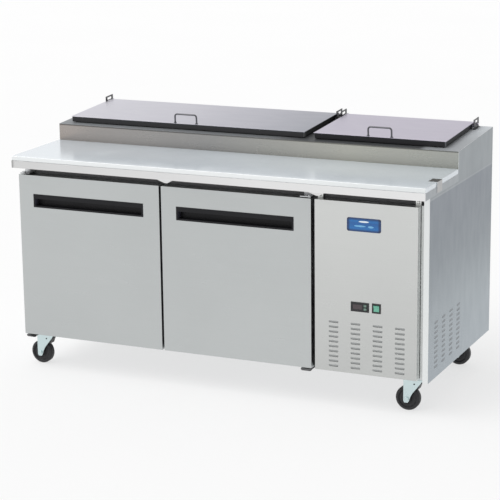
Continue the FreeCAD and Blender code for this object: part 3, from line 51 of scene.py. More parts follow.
class Paint:
    """A node material: add() makes a node, join() links a socket to the surface, shade() sets its values."""

    def __init__(self, name):
        self.material = bpy.data.materials.new(name)
        self.material.use_nodes = True
        self.tree = self.material.node_tree
        self.surface = self.tree.nodes["Principled BSDF"]
        self.place = self.add("ShaderNodeTexCoord").outputs["Object"]

    def add(self, kind, settings=None, **inputs):
        """Make a node; _0 and _1 stand for inputs given by number."""
        node = self.tree.nodes.new(kind)
        for key, value in (settings or {}).items():
            setattr(node, key, value)
        for key, value in inputs.items():
            socket = node.inputs[int(key[1:])] if key[0] == "_" and key[1:].isdigit() else node.inputs[key]
            if isinstance(value, bpy.types.NodeSocket):
                self.tree.links.new(value, socket)
            else:
                socket.default_value = value
        return node

    def join(self, source, socket):
        self.tree.links.new(source, self.surface.inputs[socket])

    def shade(self, **inputs):
        for key, value in inputs.items():
            self.surface.inputs[key.replace("_", " ")].default_value = value

    def noise(self, scale, stretch=(1, 1, 1), detail=3.0, rough=0.5):
        """Noise in the object's own space, stretched by a scale on each axis."""
        mapping = self.add("ShaderNodeMapping", Vector=self.place, Scale=stretch)
        return self.add("ShaderNodeTexNoise", Vector=mapping.outputs[0], Scale=scale, Detail=detail,
                        Roughness=rough).outputs["Fac"]

    def spread(self, value, low, high, start=0.0, end=1.0):
        """Map a value from start..end to low..high."""
        node = self.add("ShaderNodeMapRange", Value=value)
        for key, number in zip(("From Min", "From Max", "To Min", "To Max"), (start, end, low, high)):
            node.inputs[key].default_value = number
        return node.outputs[0]

    def tint(self, value, dark, light):
        """Colour between two tones."""
        node = self.add("ShaderNodeMix", {"data_type": "RGBA"})
        self.tree.links.new(value, node.inputs["Factor"])
        node.inputs[6].default_value = (*dark, 1)
        node.inputs[7].default_value = (*light, 1)
        return node.outputs[2]

    def relief(self, height, depth, strength=0.4, edge=0.0008):
        """Bump on top of softly rounded edges."""
        soft = self.add("ShaderNodeBevel", {"samples": 4}, Radius=edge).outputs[0]
        bump = self.add("ShaderNodeBump", Height=height, Strength=strength, Distance=depth, Normal=soft)
        self.join(bump.outputs[0], "Normal")

    def times(self, one, two):
        """Multiply two colours."""
        node = self.add("ShaderNodeMix", {"data_type": "RGBA", "blend_type": "MULTIPLY"})
        node.inputs["Factor"].default_value = 1
        for index, colour in ((6, one), (7, two)):
            if isinstance(colour, bpy.types.NodeSocket):
                self.tree.links.new(colour, node.inputs[index])
            else:
                node.inputs[index].default_value = (*colour, 1)
        return node.outputs[2]

    def fade(self, axis, stops):
        """Tones along an axis of the object, given as (distance, colour) pairs in order; most are painted
        shade and painted highlights.
        """
        where = self.add("ShaderNodeSeparateXYZ", Vector=self.place).outputs["XYZ".index(axis)]
        low, high = stops[0][0], stops[-1][0]
        ramp = self.add("ShaderNodeValToRGB", Fac=self.spread(where, 0, 1, low, high))
        points = ramp.color_ramp.elements
        while len(points) < len(stops):
            points.new(0.5)
        for point, (distance, colour) in zip(points, stops):
            point.position = (distance - low) / (high - low)
            point.color = (*colour, 1)
        return ramp.outputs[0]

    def facing(self, axis, along, stops):
        """Painted light and shade by direction: tones along one axis on the faces that look towards +X, +Y or
        +Z, and white elsewhere.
        """
        normal = self.add("ShaderNodeTexCoord").outputs["Normal"]
        part = self.add("ShaderNodeSeparateXYZ", Vector=normal).outputs["XYZ".index(axis)]
        mix = self.add("ShaderNodeMix", {"data_type": "RGBA"})
        self.tree.links.new(self.spread(part, 0, 1, 0.55, 0.75), mix.inputs["Factor"])
        mix.inputs[6].default_value = (1, 1, 1, 1)
        self.tree.links.new(self.fade(along, stops), mix.inputs[7])
        return mix.outputs[2]

    def shaded(self, colour, fades, facings):
        """Multiply a colour by each of its tones by place and by direction: painted light and shade."""
        for tones in fades:
            colour = self.times(colour, self.fade(*tones))
        for tones in facings:
            colour = self.times(colour, self.facing(*tones))
        return colour


GRAIN_ALONG, GRAIN_ACROSS = 5, 900
GRAIN_CONTRAST = 0.05


def steel(name, tone, rough=0.26, grain="X", fades=(), facings=(), metallic=1.0):
    """Brushed stainless sheet: fine grain one way, faint clouds and rubbed patches."""
    paint = Paint(name)
    fine = paint.noise(1, tuple(GRAIN_ALONG if axis == grain else GRAIN_ACROSS for axis in "XYZ"), 4, 0.65)
    cloud = paint.noise(1.6, (1, 1, 1), 2)
    rubbed = paint.noise(9, tuple(1 if axis == grain else 3 for axis in "XYZ"), 3)
    clouded = paint.spread(cloud, 0, 1, 0.3, 0.7)
    colour = paint.tint(clouded, [c * 0.975 for c in tone], [c * 1.025 for c in tone])
    colour = paint.times(colour, paint.tint(fine, (1 - GRAIN_CONTRAST,) * 3, (1 + GRAIN_CONTRAST * 0.6,) * 3))
    paint.join(paint.shaded(colour, fades, facings), "Base Color")
    mixed = paint.add("ShaderNodeMath", {"operation": "ADD"}, _0=paint.spread(fine, -0.04, 0.06),
                      _1=paint.spread(rubbed, rough - 0.03, rough + 0.04, 0.3, 0.7)).outputs[0]
    paint.join(mixed, "Roughness")
    paint.shade(Metallic=metallic)
    paint.relief(fine, 0.00004, 0.3)
    return paint.material


def plain(name, tone, rough, scale=220.0, bump=0.00005, metallic=0.0, vary=0.08, facings=(), gloss=0.5):
    """Moulded, cast or painted surface with a fine uneven skin."""
    paint = Paint(name)
    skin = paint.noise(scale, (1, 1, 1), 4, 0.6)
    patch = paint.noise(6, (1, 1, 1), 3)
    colour = paint.tint(patch, [c * (1 - vary) for c in tone], [c * (1 + vary) for c in tone])
    paint.join(paint.shaded(colour, (), facings), "Base Color")
    paint.join(paint.spread(patch, rough - 0.06, rough + 0.06, 0.3, 0.7), "Roughness")
    paint.shade(Metallic=metallic, Specular_IOR_Level=gloss)
    paint.relief(skin, bump, 0.5)
    return paint.material


def galvanised():
    """Zinc-coated sheet with its crystal pattern."""
    paint = Paint("galvanised_sheet")
    crystal = paint.add("ShaderNodeTexVoronoi", Vector=paint.place, Scale=60.0)
    tone = paint.add("ShaderNodeSeparateColor", Color=crystal.outputs["Color"]).outputs[0]
    paint.join(paint.tint(tone, (0.42, 0.44, 0.46), (0.58, 0.6, 0.62)), "Base Color")
    paint.join(paint.spread(tone, 0.34, 0.5), "Roughness")
    paint.shade(Metallic=1.0)
    paint.relief(crystal.outputs["Distance"], 0.00004, 0.3)
    return paint.material


def cutting_surface():
    """White board with a soft gloss and shallow knife marks, a painted highlight along its front edge and
    painted shade towards its right end.
    """
    paint = Paint("white_board")
    marks = paint.noise(1, (30, 900, 900), 2, 0.4)
    marks_across = paint.noise(1, (700, 40, 700), 2, 0.4)
    cuts = paint.add("ShaderNodeMath", {"operation": "MAXIMUM"}, _0=paint.spread(marks, 0, 1, 0.62, 0.75),
                     _1=paint.spread(marks_across, 0, 1, 0.64, 0.75)).outputs[0]
    worn = paint.noise(5, (1, 1, 1), 4)
    low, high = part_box("cutting_board")
    # The pale strip at the front edge is a painted highlight; the darkening towards +X is painted shade.
    edge, plain_tone, left = (1.15, 1.07, 0.99), (1, 1, 1), (1, 1.02, 1.03)
    front = [(low.y, edge), (low.y + 0.001, edge), (low.y + 0.003, (1.18, 1.14, 1.1)),
             (low.y + 0.012, (1.12, 1.11, 1.1)), (low.y + 0.03, plain_tone), (high.y, plain_tone)]
    along = [(-0.9, left), (0.3, left), (0.9, (0.92, 0.95, 0.96))]
    colour = paint.tint(worn, (0.655, 0.715, 0.775), (0.715, 0.77, 0.825))
    paint.join(paint.shaded(colour, [("Y", front), ("X", along)], ()), "Base Color")
    paint.join(paint.spread(worn, 0.12, 0.24, 0.3, 0.7), "Roughness")
    paint.shade(Coat_Weight=1.0, Coat_Roughness=0.2, Coat_IOR=1.6, IOR=1.54)
    paint.relief(cuts, -0.00012, 0.25, 0.0015)
    return paint.material


def finned():
    """Coil block: close aluminium fins over darker gaps, which are painted shade between the fins."""
    paint = Paint("coil_fins")
    wave = paint.add("ShaderNodeTexWave", {"wave_type": "BANDS", "bands_direction": "X"}, Vector=paint.place,
                     Scale=140.0, Distortion=0.4).outputs["Fac"]
    fin = paint.spread(wave, 0, 1, 0.35, 0.6)
    paint.join(paint.tint(fin, (0.08, 0.08, 0.085), (0.62, 0.63, 0.64)), "Base Color")
    paint.join(paint.spread(fin, 0.7, 0.38), "Roughness")
    paint.join(paint.spread(fin, 0.2, 1.0), "Metallic")
    paint.relief(fin, 0.0008, 0.6)
    return paint.material


def badge_blue():
    """Enamelled plate with a darker border and a paler foot."""
    paint = Paint("badge_enamel")
    low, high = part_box("badge_plate")
    edge, light, deep = (0.3, 0.24, 0.28), (1.0, 0.9, 0.8), (0.6, 0.62, 0.62)
    across = [(low.x, edge), (low.x + 0.006, edge), (low.x + 0.014, light),
              (high.x - 0.014, light), (high.x - 0.006, edge), (high.x, edge)]
    # The paler band near the top is a painted highlight.
    up = [(low.z, edge), (low.z + 0.004, edge), (low.z + 0.012, light), (low.z + 0.034, deep),
          (high.z - 0.012, light), (high.z - 0.004, edge), (high.z, edge)]
    colour = paint.tint(paint.noise(60), (0.0, 0.15, 0.62), (0.0, 0.19, 0.7))
    paint.join(paint.shaded(colour, [("X", across), ("Z", up)], ()), "Base Color")
    paint.join(paint.spread(paint.noise(80), 0.24, 0.34), "Roughness")
    paint.shade(Coat_Weight=0.4, Coat_Roughness=0.12)
    paint.relief(paint.noise(300), 0.00003, 0.3)
    return paint.material


def glowing(name, tone, light):
    """Back-lit plastic."""
    paint = Paint(name)
    speck = paint.noise(400)
    paint.join(paint.tint(speck, [c * 0.9 for c in tone], [c * 1.1 for c in tone]), "Base Color")
    paint.join(paint.spread(speck, 0.25, 0.4), "Roughness")
    paint.shade(Emission_Color=(*tone, 1), Emission_Strength=light)
    return paint.material


MATERIALS = {
    "steel": steel("steel_sheet", (0.55, 0.56, 0.57)),
    "pan_steel": steel("pan_steel", (0.66, 0.67, 0.68), 0.2, "Y"),
    "screw_steel": steel("screw_steel", (0.66, 0.66, 0.65), 0.2),
    "wire_steel": steel("wire_steel", (0.14, 0.14, 0.15), 0.3),
    "galvanised": galvanised(),
    "liner_aluminium": steel("liner_aluminium", (0.78, 0.79, 0.8), 0.36, "Z"),
    "foam": plain("foam", (0.8, 0.7, 0.42), 0.85, 500, 0.0006),
    "foam_panel": plain("door_panel_white", (0.74, 0.76, 0.78), 0.42, 900, 0.00003, vary=0.03),
    "frame_plastic": plain("frame_plastic", (0.13, 0.13, 0.135), 0.5),
    "white_board": cutting_surface(),
    "black_plastic": plain("black_plastic", (0.012, 0.012, 0.014), 0.4, 700, 0.00008),
    "compressor_black": plain("compressor_paint", (0.02, 0.02, 0.021), 0.35, 90, 0.0001),
    "motor_grey": plain("motor_paint", (0.16, 0.165, 0.17), 0.4, 150, 0.0001),
    "fins": finned(),
    "copper": plain("copper", (0.72, 0.33, 0.2), 0.32, 300, 0.00004, 1.0, 0.15),
    "coated_wire": plain("wire_coating", (0.7, 0.71, 0.72), 0.3, 300, 0.00005),
    "zinc": plain("zinc_plating", (0.6, 0.71, 0.72), 0.3, 260, 0.00005, 1.0, 0.08),
    "fan_aluminium": steel("fan_aluminium", (0.6, 0.6, 0.62), 0.4),
    "fan_plastic": plain("fan_plastic", (0.03, 0.03, 0.033), 0.45),
    "rocker_green": glowing("rocker_green", (0.12, 0.36, 0.26), 0.2),
    "key_grey": plain("key_grey", (0.1, 0.16, 0.13), 0.5),
    "badge": badge_blue(),
    "seal_rubber": plain("seal_rubber", (0.05, 0.05, 0.052), 0.6, 300, 0.0002),
    "wheel_rubber": plain("wheel_rubber", (0.014, 0.014, 0.016), 0.55, 260, 0.0003),
}


def greys(*pairs):
    """Neutral tones: (distance, level) pairs as (distance, colour)."""
    return [(distance, (level, level, level)) for distance, level in pairs]


# Painted shade up the right side sheet's outer face, paler at the foot and darker towards the top, with a
# thin paler line level with the worktop, a painted highlight.
SIDE_FACE_SHADE = ("X", "Z", [
    (0.15, (0.5, 0.545, 0.59)), (0.4, (0.42, 0.46, 0.495)), (0.6, (0.3, 0.33, 0.365)),
    (0.8, (0.275, 0.3, 0.34)), (0.867, (0.285, 0.31, 0.35)), (0.868, (0.43, 0.45, 0.48)),
    (0.8705, (0.43, 0.45, 0.48)), (0.8715, (0.35, 0.375, 0.4)), (0.9, (0.36, 0.385, 0.41))])
# Painted shade on the worktop apron's end faces that look towards +X.
APRON_END_SHADE = ("X", "Z", [(0.8, (0.42, 0.45, 0.475)), (0.95, (0.42, 0.45, 0.475))])
DOOR_SHEET = steel("door_sheet", (0.52, 0.54, 0.54), 0.3)
# The pulls' faces that look towards +X are painted far lighter: a painted glint on the inner end wall.
PULL_PLASTIC = plain("pull_plastic", (0.008, 0.008, 0.01), 0.42, 700, 0.00008, gloss=0.25, facings=[
    ("X", "Z", [(0.6, (7, 7, 7.5)), (0.9, (7, 7, 7.5))])])
# Nodes with a material of their own: lighter and darker copies of the sheets and plastics, with painted
# reflections, painted shade and painted highlights running across them.
OWN = {
    "door_left_shell": DOOR_SHEET,
    "door_right_shell": DOOR_SHEET,
    # Painted light on the front panel: lighter towards the top, a painted highlight on the tab above its top
    # edge, and its faces towards +X painted lighter.
    "louvred_front_panel": steel("panel_sheet", (0.6, 0.61, 0.6), 0.3,
                                 fades=[("Z", greys((0.15, 0.9), (0.45, 0.97), (0.8, 1.08), (0.846, 1.08),
                                                    (0.852, 1.6)))],
                                 facings=[("X", "Z", greys((0.1, 1.66), (0.9, 1.5)))]),
    # The side sheet carries painted shade up its face and a painted shadow on the strip behind the gap at its
    # front.
    "side_panel_right": steel("side_sheet", (0.78, 0.8, 0.8), 0.32, "Z", facings=[SIDE_FACE_SHADE],
                              fades=[("X", greys((0.85, 0.78), (0.8787, 0.78), (0.8793, 1), (0.9035, 1)))]),
    # Painted shade on the left side sheet's faces that look towards +X.
    "side_panel_left": steel("left_side_sheet", (0.78, 0.8, 0.8), 0.32, "Z",
                             facings=[("X", "Z", greys((0.15, 0.4), (0.9, 0.34)))]),
    # Painted reflections across the riser, and a painted shadow line along its top edge.
    "rail_front_panel": steel("riser_sheet", (0.37, 0.36, 0.34), 0.24, fades=[("X", [
        (-0.9, (0.99, 0.93, 0.92)), (-0.2, (0.88, 0.88, 0.9)), (0.45, (1.22, 1.23, 1.15)),
        (0.9, (1.13, 1.16, 1.12))]),
        ("Z", greys((0.928, 0.82), (0.945, 0.97), (0.965, 1.06), (0.991, 1.06), (0.9935, 0.42),
                    (0.998, 0.42)))]),
    # Painted shade: the left lid darkens towards +X.
    "lid_left_skin": steel("lid_left_sheet", (0.7, 0.69, 0.74), 0.3, fades=[("X", [
        (-0.85, (1.02, 1.02, 1.04)), (-0.4, (0.88, 0.88, 0.91)), (0.0, (0.69, 0.7, 0.74)),
        (0.23, (0.54, 0.565, 0.6))])]),
    # The right lid's steel is a darker, bluer copy: painted shade.
    "lid_right_skin": steel("lid_right_sheet", (0.59, 0.555, 0.655), 0.3),
    # Painted light along the apron: a painted shadow at its left end, lighter towards +X, and painted shade
    # on its +X end.
    "worktop": steel("apron_sheet", (0.78, 0.78, 0.78), 0.34, facings=[APRON_END_SHADE],
                     fades=[("X", greys((-0.9015, 0.35), (-0.89, 0.87), (-0.5, 0.92), (0.2, 1.02),
                                        (0.9, 1.06)))]),
    # The rail top is a dark, half-metal copy of the steel with a painted shadow before the right lid, painted
    # light beyond it and at the left, and painted shade towards the front.
    "rail_top_frame": steel("rail_sheet", (0.2, 0.21, 0.22), 0.5, metallic=0.25, fades=[
        ("X", greys((-0.9, 1.5), (0.1, 1.1), (0.24, 0.4), (0.735, 0.42), (0.76, 2), (0.9, 2.1))),
        ("Y", greys((-0.05, 0.8), (0.15, 0.9), (0.42, 1.4)))]),
    "lid_lugs": steel("lug_sheet", (0.1, 0.1, 0.105), 0.34),
    # Painted shade on the brackets' upward and +X faces.
    "board_brackets": steel("bracket_sheet", (0.74, 0.74, 0.74), 0.34, facings=[
        ("Z", "Z", greys((0.7, 0.09), (1, 0.09))), ("X", "Z", greys((0.7, 0.6), (1, 0.6)))]),
    "door_left_handle": PULL_PLASTIC,
    "door_right_handle": PULL_PLASTIC,
    # Painted shade on the lower brackets and on a stretch near the left end.
    "door_hinge_brackets": steel("hinge_sheet", (0.6, 0.61, 0.62), 0.3, fades=[
        ("Z", greys((0.1, 0.22), (0.2, 0.22), (0.3, 1), (0.9, 1))),
        ("X", greys((-0.9, 1), (-0.882, 1), (-0.872, 0.3), (-0.85, 0.3), (-0.8, 1), (0.9, 1)))]),
    # The lid cores' faces towards +X carry a painted highlight near the front, and the left one painted shade
    # towards the back.
    "lid_left_core": plain("left_lid_foam", (0.03, 0.03, 0.032), 0.5, 500, 0.0001, gloss=0.3, facings=[
        ("X", "Y", [(0.0, (7, 7.3, 7)), (0.04, (1.2, 1.3, 1.2)), (0.34, (0.4, 0.4, 0.4))])]),
    "lid_right_core": plain("right_lid_foam", (0.014, 0.014, 0.016), 0.5, 500, 0.0001, gloss=0.3, facings=[
        ("X", "Y", [(0.0, (20, 21, 20)), (0.03, (2, 2.2, 2)), (0.34, (1, 1, 1))])]),
}
# The louvre hoods are darker copies of the sheet: painted shade beneath the hoods.
HOOD = steel("louvre_sheet", (0.33, 0.34, 0.34), 0.42)
SIDE_HOOD = steel("side_louvre_sheet", (0.3, 0.32, 0.34), 0.42, "Z")

for part in frame["record"]["subparts"]:
    finish = OWN.get(part["node"], MATERIALS[part["material_slot"]])
    for holder in frame["nodes"][part["node"]].material_slots:
        holder.material = finish


# --- small pieces ------------------------------------------------------------------------------


def piece(name, build, body, material, bevel=0.0):
    """A mesh built by a function, riding on a body."""
    mesh = bpy.data.meshes.new(name)
    shape = bmesh.new()
    build(shape)
    if bevel:
        bmesh.ops.bevel(shape, geom=shape.edges[:], offset=bevel, segments=2, affect="EDGES", profile=0.6,
                        clamp_overlap=True)
    bmesh.ops.recalc_face_normals(shape, faces=shape.faces[:])
    shape.to_mesh(mesh)
    shape.free()
    made = bpy.data.objects.new(name, mesh)
    scene.collection.objects.link(made)
    made.data.materials.append(material)
    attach(made, body)


def block(shape, low, high):
    """Add a box between two corners."""
    made = bmesh.ops.create_cube(shape, size=1.0)["verts"]
    low, high = Vector(low), Vector(high)
    size = Matrix.Diagonal((high - low).to_4d())
    bmesh.ops.transform(shape, matrix=Matrix.Translation((low + high) / 2) @ size, verts=made)


def bands(shape, loops):
    """Join each loop of vertices to the next with a band of faces."""
    for one, two in zip(loops, loops[1:]):
        for k in range(len(one)):
            j = (k + 1) % len(one)
            shape.faces.new((one[k], one[j], two[j], two[k]))


def spokes(axis, count):
    """Unit vectors spread round an axis."""
    one = axis.orthogonal().normalized()
    two = axis.cross(one)
    return [one * math.cos(math.tau * k / count) + two * math.sin(math.tau * k / count) for k in range(count)]


def plate(shape, outline, origin, thick):
    """Add a flat shape from an outline (x, z) in millimetres, raised towards the front."""
    origin, across, up = Vector(origin), Vector((1, 0, 0)), Vector((0, 0, 1))
    out = across.cross(up).normalized() * thick
    loops = [[shape.verts.new(origin + across * x * MM + up * z * MM + lift) for x, z in outline]
             for lift in (Vector(), out)]
    shape.faces.new(loops[0][::-1])
    shape.faces.new(loops[1])
    bands(shape, loops)


def oval(x, y, width, height, count=28):
    """Outline of an ellipse about a middle point."""
    return [(x + width / 2 * math.cos(math.tau * k / count), y + height / 2 * math.sin(math.tau * k / count))
            for k in range(count)]


def badge_marks(shape):
    """A plain oval: no lettering."""
    low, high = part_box("badge_plate")
    origin = ((low.x + high.x) / 2, low.y + 0.0002, low.z)
    plate(shape, oval(0, 40, 42, 7), origin, 0.0007)


def badge_bars(shape):
    """Two paler rounded bars below the oval."""
    low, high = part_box("badge_plate")
    origin = ((low.x + high.x) / 2, low.y + 0.0002, low.z)
    plate(shape, oval(-16, 22, 48, 7), origin, 0.0006)
    plate(shape, oval(29, 21, 24, 8), origin, 0.0006)


# Each bar of a figure: its place (x, z) in millimetres, and whether it lies flat.
SEGMENTS = {"a": (0, 9, True), "b": (2.6, 4.5, False), "c": (2.6, 0, False), "d": (0, 0, True),
            "e": (-2.6, 0, False), "f": (-2.6, 4.5, False), "g": (0, 4.5, True)}
FLAT_BAR = [(-2, 0), (-1.4, 0.7), (1.4, 0.7), (2, 0), (1.4, -0.7), (-1.4, -0.7)]
UPRIGHT_BAR = [(0, 0.5), (0.7, 1.1), (0.7, 3.5), (0, 4.1), (-0.7, 3.5), (-0.7, 1.1)]
FIGURES = ("abcdg", "abcdefg")
FIGURE_STEP = 9
FIGURES_LEFT, FIGURES_FOOT = 0.0215, 0.0145


def digits(shape):
    """Lit bars of the two generic figures on the display."""
    low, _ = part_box("controller")
    origin = (low.x + FIGURES_LEFT, low.y + 0.0011, low.z + FIGURES_FOOT)
    for place, bars in enumerate(FIGURES):
        for bar in bars:
            x, z, flat = SEGMENTS[bar]
            outline = FLAT_BAR if flat else UPRIGHT_BAR
            outline = [(px + x + place * FIGURE_STEP, pz + z) for px, pz in outline]
            plate(shape, outline, origin, 0.0002)


def display_glass(shape):
    """Window over the figures and the keys."""
    low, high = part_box("controller")
    block(shape, (low.x + 0.0082, low.y + 0.0004, low.z + 0.0092),
          (low.x + 0.0468, low.y + 0.0009, high.z - 0.0092))


SLOT_COLUMNS, SLOT_ROWS = 4, 10
SLOT_WIDTH = 0.038
COLUMN_STEP, ROW_STEP = 0.092, 0.02
# Cross-section of a hood as (out, up) in millimetres, and how far it has shrunk at places along the slot.
HOOD_PROFILE = [(0.0, 9.0), (0.5, 8.0), (0.9, 6.0), (1.1, 3.6), (0.9, 1.6), (0.5, 1.7), (0.7, 3.8),
                (0.5, 6.0), (0.1, 7.6), (0.0, 8.2)]
HOOD_ENDS = ((-0.04, 0.1), (0.0, 0.7), (0.08, 0.95), (0.15, 1), (0.85, 1), (0.92, 0.95), (1.0, 0.7),
             (1.04, 0.1))
HOOD_LINE = 6.0


def louvre_hoods(first, across, out):
    """Pressed hoods over a field of slots, drawn in towards both ends."""
    first, across, out = Vector(first), Vector(across), Vector(out)

    def section(shape, base, along, shrink):
        at = base + across * (SLOT_WIDTH * along)
        return [shape.verts.new(at + out * (depth * shrink * MM) + Vector((
                    0, 0, (HOOD_LINE + (height - HOOD_LINE) * (0.5 + shrink / 2)) * MM)))
                for depth, height in HOOD_PROFILE]

    def build(shape):
        for column in range(SLOT_COLUMNS):
            for row in range(SLOT_ROWS):
                base = first + across * column * COLUMN_STEP + Vector((0, 0, ROW_STEP * row))
                loops = [section(shape, base, along, shrink) for along, shrink in HOOD_ENDS]
                bands(shape, loops)
                shape.faces.new(loops[0])
                shape.faces.new(loops[-1][::-1])
    return build


def key_mark(node, points):
    """A raised arrow on a key."""
    def build(shape):
        low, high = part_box(node)
        middle = ((low.x + high.x) / 2, low.y + 0.0002, (low.z + high.z) / 2)
        plate(shape, points, middle, 0.0003)
    return build


def ring(shape, centre, axis, radius, wire, count=40, around=8):
    """Add a wire ring about an axis through its centre."""
    axis, centre = Vector(axis), Vector(centre)
    loops = []
    for out in spokes(axis, count):
        middle = centre + out * radius
        loops.append([shape.verts.new(middle + (out * math.cos(math.tau * m / around)
                                                + axis * math.sin(math.tau * m / around)) * wire)
                      for m in range(around)])
    bands(shape, loops + loops[:1])


def rod(shape, start, end, wire, around=8):
    """Add a straight wire between two points."""
    start, end = Vector(start), Vector(end)
    axis = (end - start).normalized()
    loops = [[shape.verts.new(at + spoke * wire) for spoke in spokes(axis, around)] for at in (start, end)]
    shape.faces.new(loops[0][::-1])
    shape.faces.new(loops[1])
    bands(shape, loops)


GUARD_WIRE = 0.0011
GUARD_RINGS = (0.018, 0.034, 0.05, 0.066, 0.084)
GUARD_STAYS = 3
GUARD_REACH = 0.088


def fan_guard(shape):
    """Concentric wires with cross stays over the evaporator fan's mouth."""
    low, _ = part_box("evaporator_housing")
    fan_low, fan_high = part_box("evaporator_fan_blade")
    centre = Vector((low.x - GUARD_WIRE, (fan_low.y + fan_high.y) / 2, (fan_low.z + fan_high.z) / 2))
    for radius in GUARD_RINGS:
        ring(shape, centre, (1, 0, 0), radius, GUARD_WIRE)
    for number in range(GUARD_STAYS):
        turn = math.pi * number / GUARD_STAYS
        out = Vector((0, math.cos(turn), math.sin(turn))) * GUARD_REACH
        rod(shape, centre - out, centre + out, GUARD_WIRE)


def hexagon(shape, centre, axis, size, thick):
    """Add a six-sided nut whose lower face is at the centre."""
    axis, centre = Vector(axis), Vector(centre)
    loops = [[shape.verts.new(centre + axis * lift + spoke * size * scale) for spoke in spokes(axis, 6)]
             for lift, scale in ((0, 1), (thick * 0.8, 1), (thick, 0.84))]
    shape.faces.new(loops[0][::-1])
    shape.faces.new(loops[2])
    bands(shape, loops)


NUT_RADIUS = 0.0086
HEAD_THICK, NUT_THICK = 0.0042, 0.0052


def axle_nuts(corner):
    """Hexagon faces on the axle bolt's head and nut."""
    def build(shape):
        low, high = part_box(f"caster_fork_{corner}")
        wheel_low, wheel_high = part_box(f"caster_wheel_{corner}")
        x, z = (wheel_low.x + wheel_high.x) / 2, (wheel_low.z + wheel_high.z) / 2
        hexagon(shape, (x, low.y + HEAD_THICK, z), (0, -1, 0), NUT_RADIUS, HEAD_THICK)
        hexagon(shape, (x, high.y - NUT_THICK, z), (0, 1, 0), NUT_RADIUS, NUT_THICK)
    return build


def wheel_rings(corner):
    """Moulded ribs round both faces of a wheel."""
    def build(shape):
        low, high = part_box(f"caster_wheel_{corner}")
        centre = (low + high) / 2
        for side in (-1, 1):
            ring(shape, centre + Vector((0, side * 0.0111, 0)), (0, 1, 0), 0.0235, 0.0011, 48)
            ring(shape, centre + Vector((0, side * 0.0153, 0)), (0, 1, 0), 0.0395, 0.0009, 56)
    return build


RAIL_SLOPE = math.radians(2.92)
RAIL_GAUGE = 0.0015
PAN_ROWS = ((-0.833, 6), (0.2995, 3))
PAN_PITCH, PAN_MOUTH = 0.176, 0.154
PAN_FRONT, PAN_BACK = 0.0725, 0.3755
RIM_RADIUS, RIM_HEIGHT = 0.0012, 0.0014


def pan_rims(shape):
    """Rolled edges round the mouths of the nine pans."""
    low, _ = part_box("rail_top_frame")
    rise = Matrix.Rotation(RAIL_SLOPE, 3, "X")
    start = Vector((0, low.y, low.z + RAIL_GAUGE * math.cos(RAIL_SLOPE)))
    for first, count in PAN_ROWS:
        for number in range(count):
            x = first + PAN_PITCH * number
            corners = [(x, PAN_FRONT), (x + PAN_MOUTH, PAN_FRONT), (x + PAN_MOUTH, PAN_BACK), (x, PAN_BACK)]
            points = [start + rise @ Vector((px, py, RIM_HEIGHT)) for px, py in corners]
            for a, b in zip(points, points[1:] + points[:1]):
                rod(shape, a, b, RIM_RADIUS, 6)


CROSS_LONG, CROSS_THIN = 0.0028, 0.0005


def screw_recess_shade(shape):
    """Dark crosses in the heads of the six back screws: painted shade in their recesses."""
    _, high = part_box("panel_screws")
    for x in (-0.8715, 0.4235, 0.8715):
        for z in (0.17, 0.88):
            for wide, tall in ((CROSS_LONG, CROSS_THIN), (CROSS_THIN, CROSS_LONG)):
                block(shape, (x - wide, high.y - 0.0003, z - tall), (x + wide, high.y + 0.00005, z + tall))


white = plain("badge_white", (0.75, 0.82, 0.88), 0.35, 300, 0.00003)
pale = plain("badge_pale", (0.16, 0.42, 0.7), 0.35, 300, 0.00003)
red = glowing("digit_red", (0.36, 0.03, 0.05), 0.9)
glass = plain("display_glass", (0.06, 0.045, 0.05), 0.2, 50, 0.00001)
mark = plain("mark_grey", (0.3, 0.42, 0.36), 0.5, 300, 0.00002)

piece("badge_marks", badge_marks, "cabinet", white, 0.0001)
piece("badge_bars", badge_bars, "cabinet", pale, 0.0001)
piece("display_window", display_glass, "cabinet", glass, 0.0002)
piece("display_digits", digits, "cabinet", red)
piece("key_up_mark", key_mark("key_up", [(-2.4, -1.6), (2.4, -1.6), (0, 2)]), "up_key", mark)
piece("key_down_mark", key_mark("key_down", [(-2.4, 1.6), (0, -2), (2.4, 1.6)]), "down_key", mark)
piece("evaporator_fan_guard", fan_guard, "cabinet", MATERIALS["coated_wire"])
piece("pan_rims", pan_rims, "cabinet", MATERIALS["pan_steel"])
piece("screw_shade_crosses", screw_recess_shade, "cabinet", MATERIALS["black_plastic"])
for corner in ("front_left", "front_right", "rear_left", "rear_right"):
    piece(f"axle_nuts_{corner}", axle_nuts(corner), f"fork_{corner}", MATERIALS["zinc"])
    piece(f"wheel_ribs_{corner}", wheel_rings(corner), f"wheel_{corner}",
          MATERIALS["wheel_rubber"])

HOOD_SINK = 0.0002
panel_low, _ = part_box("louvred_front_panel")
side_low, side_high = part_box("side_panel_right")
_, back_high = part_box("back_panel")
piece("panel_louvres",
      louvre_hoods((panel_low.x + 0.060, panel_low.y + HOOD_SINK, 0.170), (1, 0, 0), (0, -1, 0)),
      "cabinet", HOOD)
piece("side_louvres",
      louvre_hoods((side_high.x - HOOD_SINK, side_low.y + 0.075, 0.186), (0, 1, 0), (1, 0, 0)),
      "cabinet", SIDE_HOOD)
piece("back_louvres",
      louvre_hoods((0.4835, back_high.y - HOOD_SINK, 0.230), (1, 0, 0), (0, 1, 0)),
      "cabinet", MATERIALS["steel"])


# --- floor, light and camera -------------------------------------------------------------------

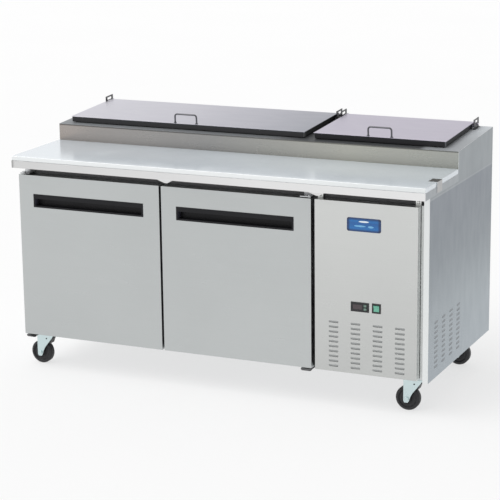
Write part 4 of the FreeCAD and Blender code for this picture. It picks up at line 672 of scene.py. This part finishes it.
FLOOR_REACH = 60
floor_mesh = bpy.data.meshes.new("floor")
floor_mesh.from_pydata([(-FLOOR_REACH, -FLOOR_REACH, 0), (FLOOR_REACH, -FLOOR_REACH, 0),
                        (FLOOR_REACH, FLOOR_REACH, 0), (-FLOOR_REACH, FLOOR_REACH, 0)], [], [(0, 1, 2, 3)])
floor = bpy.data.objects.new("floor", floor_mesh)
scene.collection.objects.link(floor)
floor_paint = Paint("floor")
floor_tone = floor_paint.tint(floor_paint.noise(0.6), (0.27, 0.27, 0.27), (0.29, 0.29, 0.29))
floor_paint.join(floor_tone, "Base Color")
floor_paint.shade(Roughness=0.9, Emission_Color=(0.9, 0.9, 0.9, 1), Emission_Strength=0.71)
floor.data.materials.append(floor_paint.material)

world = bpy.data.worlds.new("studio")
scene.world = world
world.use_nodes = True
sky = world.node_tree
background = sky.nodes["Background"]
direction = sky.nodes.new("ShaderNodeTexCoord").outputs["Generated"]
split = sky.nodes.new("ShaderNodeSeparateXYZ")
sky.links.new(direction, split.inputs[0])
side_fade = sky.nodes.new("ShaderNodeMapRange")
sky.links.new(split.outputs[0], side_fade.inputs[0])
# The room is a little darker towards +X, which gives the sheets their side-to-side shading.
for socket, number in (("From Min", -0.6), ("From Max", 0.9), ("To Min", 1.0), ("To Max", 0.62)):
    side_fade.inputs[socket].default_value = number
sky.links.new(side_fade.outputs[0], background.inputs["Color"])
background.inputs["Strength"].default_value = 0.9

sun_light = bpy.data.lights.new("key", "SUN")
sun_light.energy = 1.3
sun_light.angle = math.radians(50)
sun = bpy.data.objects.new("key", sun_light)
sun.rotation_euler = Vector((0.45, 0.5, -1.0)).to_track_quat("-Z", "Y").to_euler()
scene.collection.objects.link(sun)

camera_data = bpy.data.cameras.new("camera")
camera_data.lens = 133.07
camera_data.sensor_width = 36
camera = bpy.data.objects.new("camera", camera_data)
forward = Vector((-0.40072938, 0.88393444, -0.24098936))
rightward = Vector((0.91189402, 0.41026405, -0.01152003))
upward = Vector((-0.08868631, 0.22437317, 0.97045939))
turn = Matrix((rightward, upward, -forward)).transposed()
camera.matrix_world = Matrix.Translation((3.0944, -6.8609, 2.3805)) @ turn.to_4x4()
scene.collection.objects.link(camera)
scene.camera = camera
scene.view_settings.view_transform = "Standard"
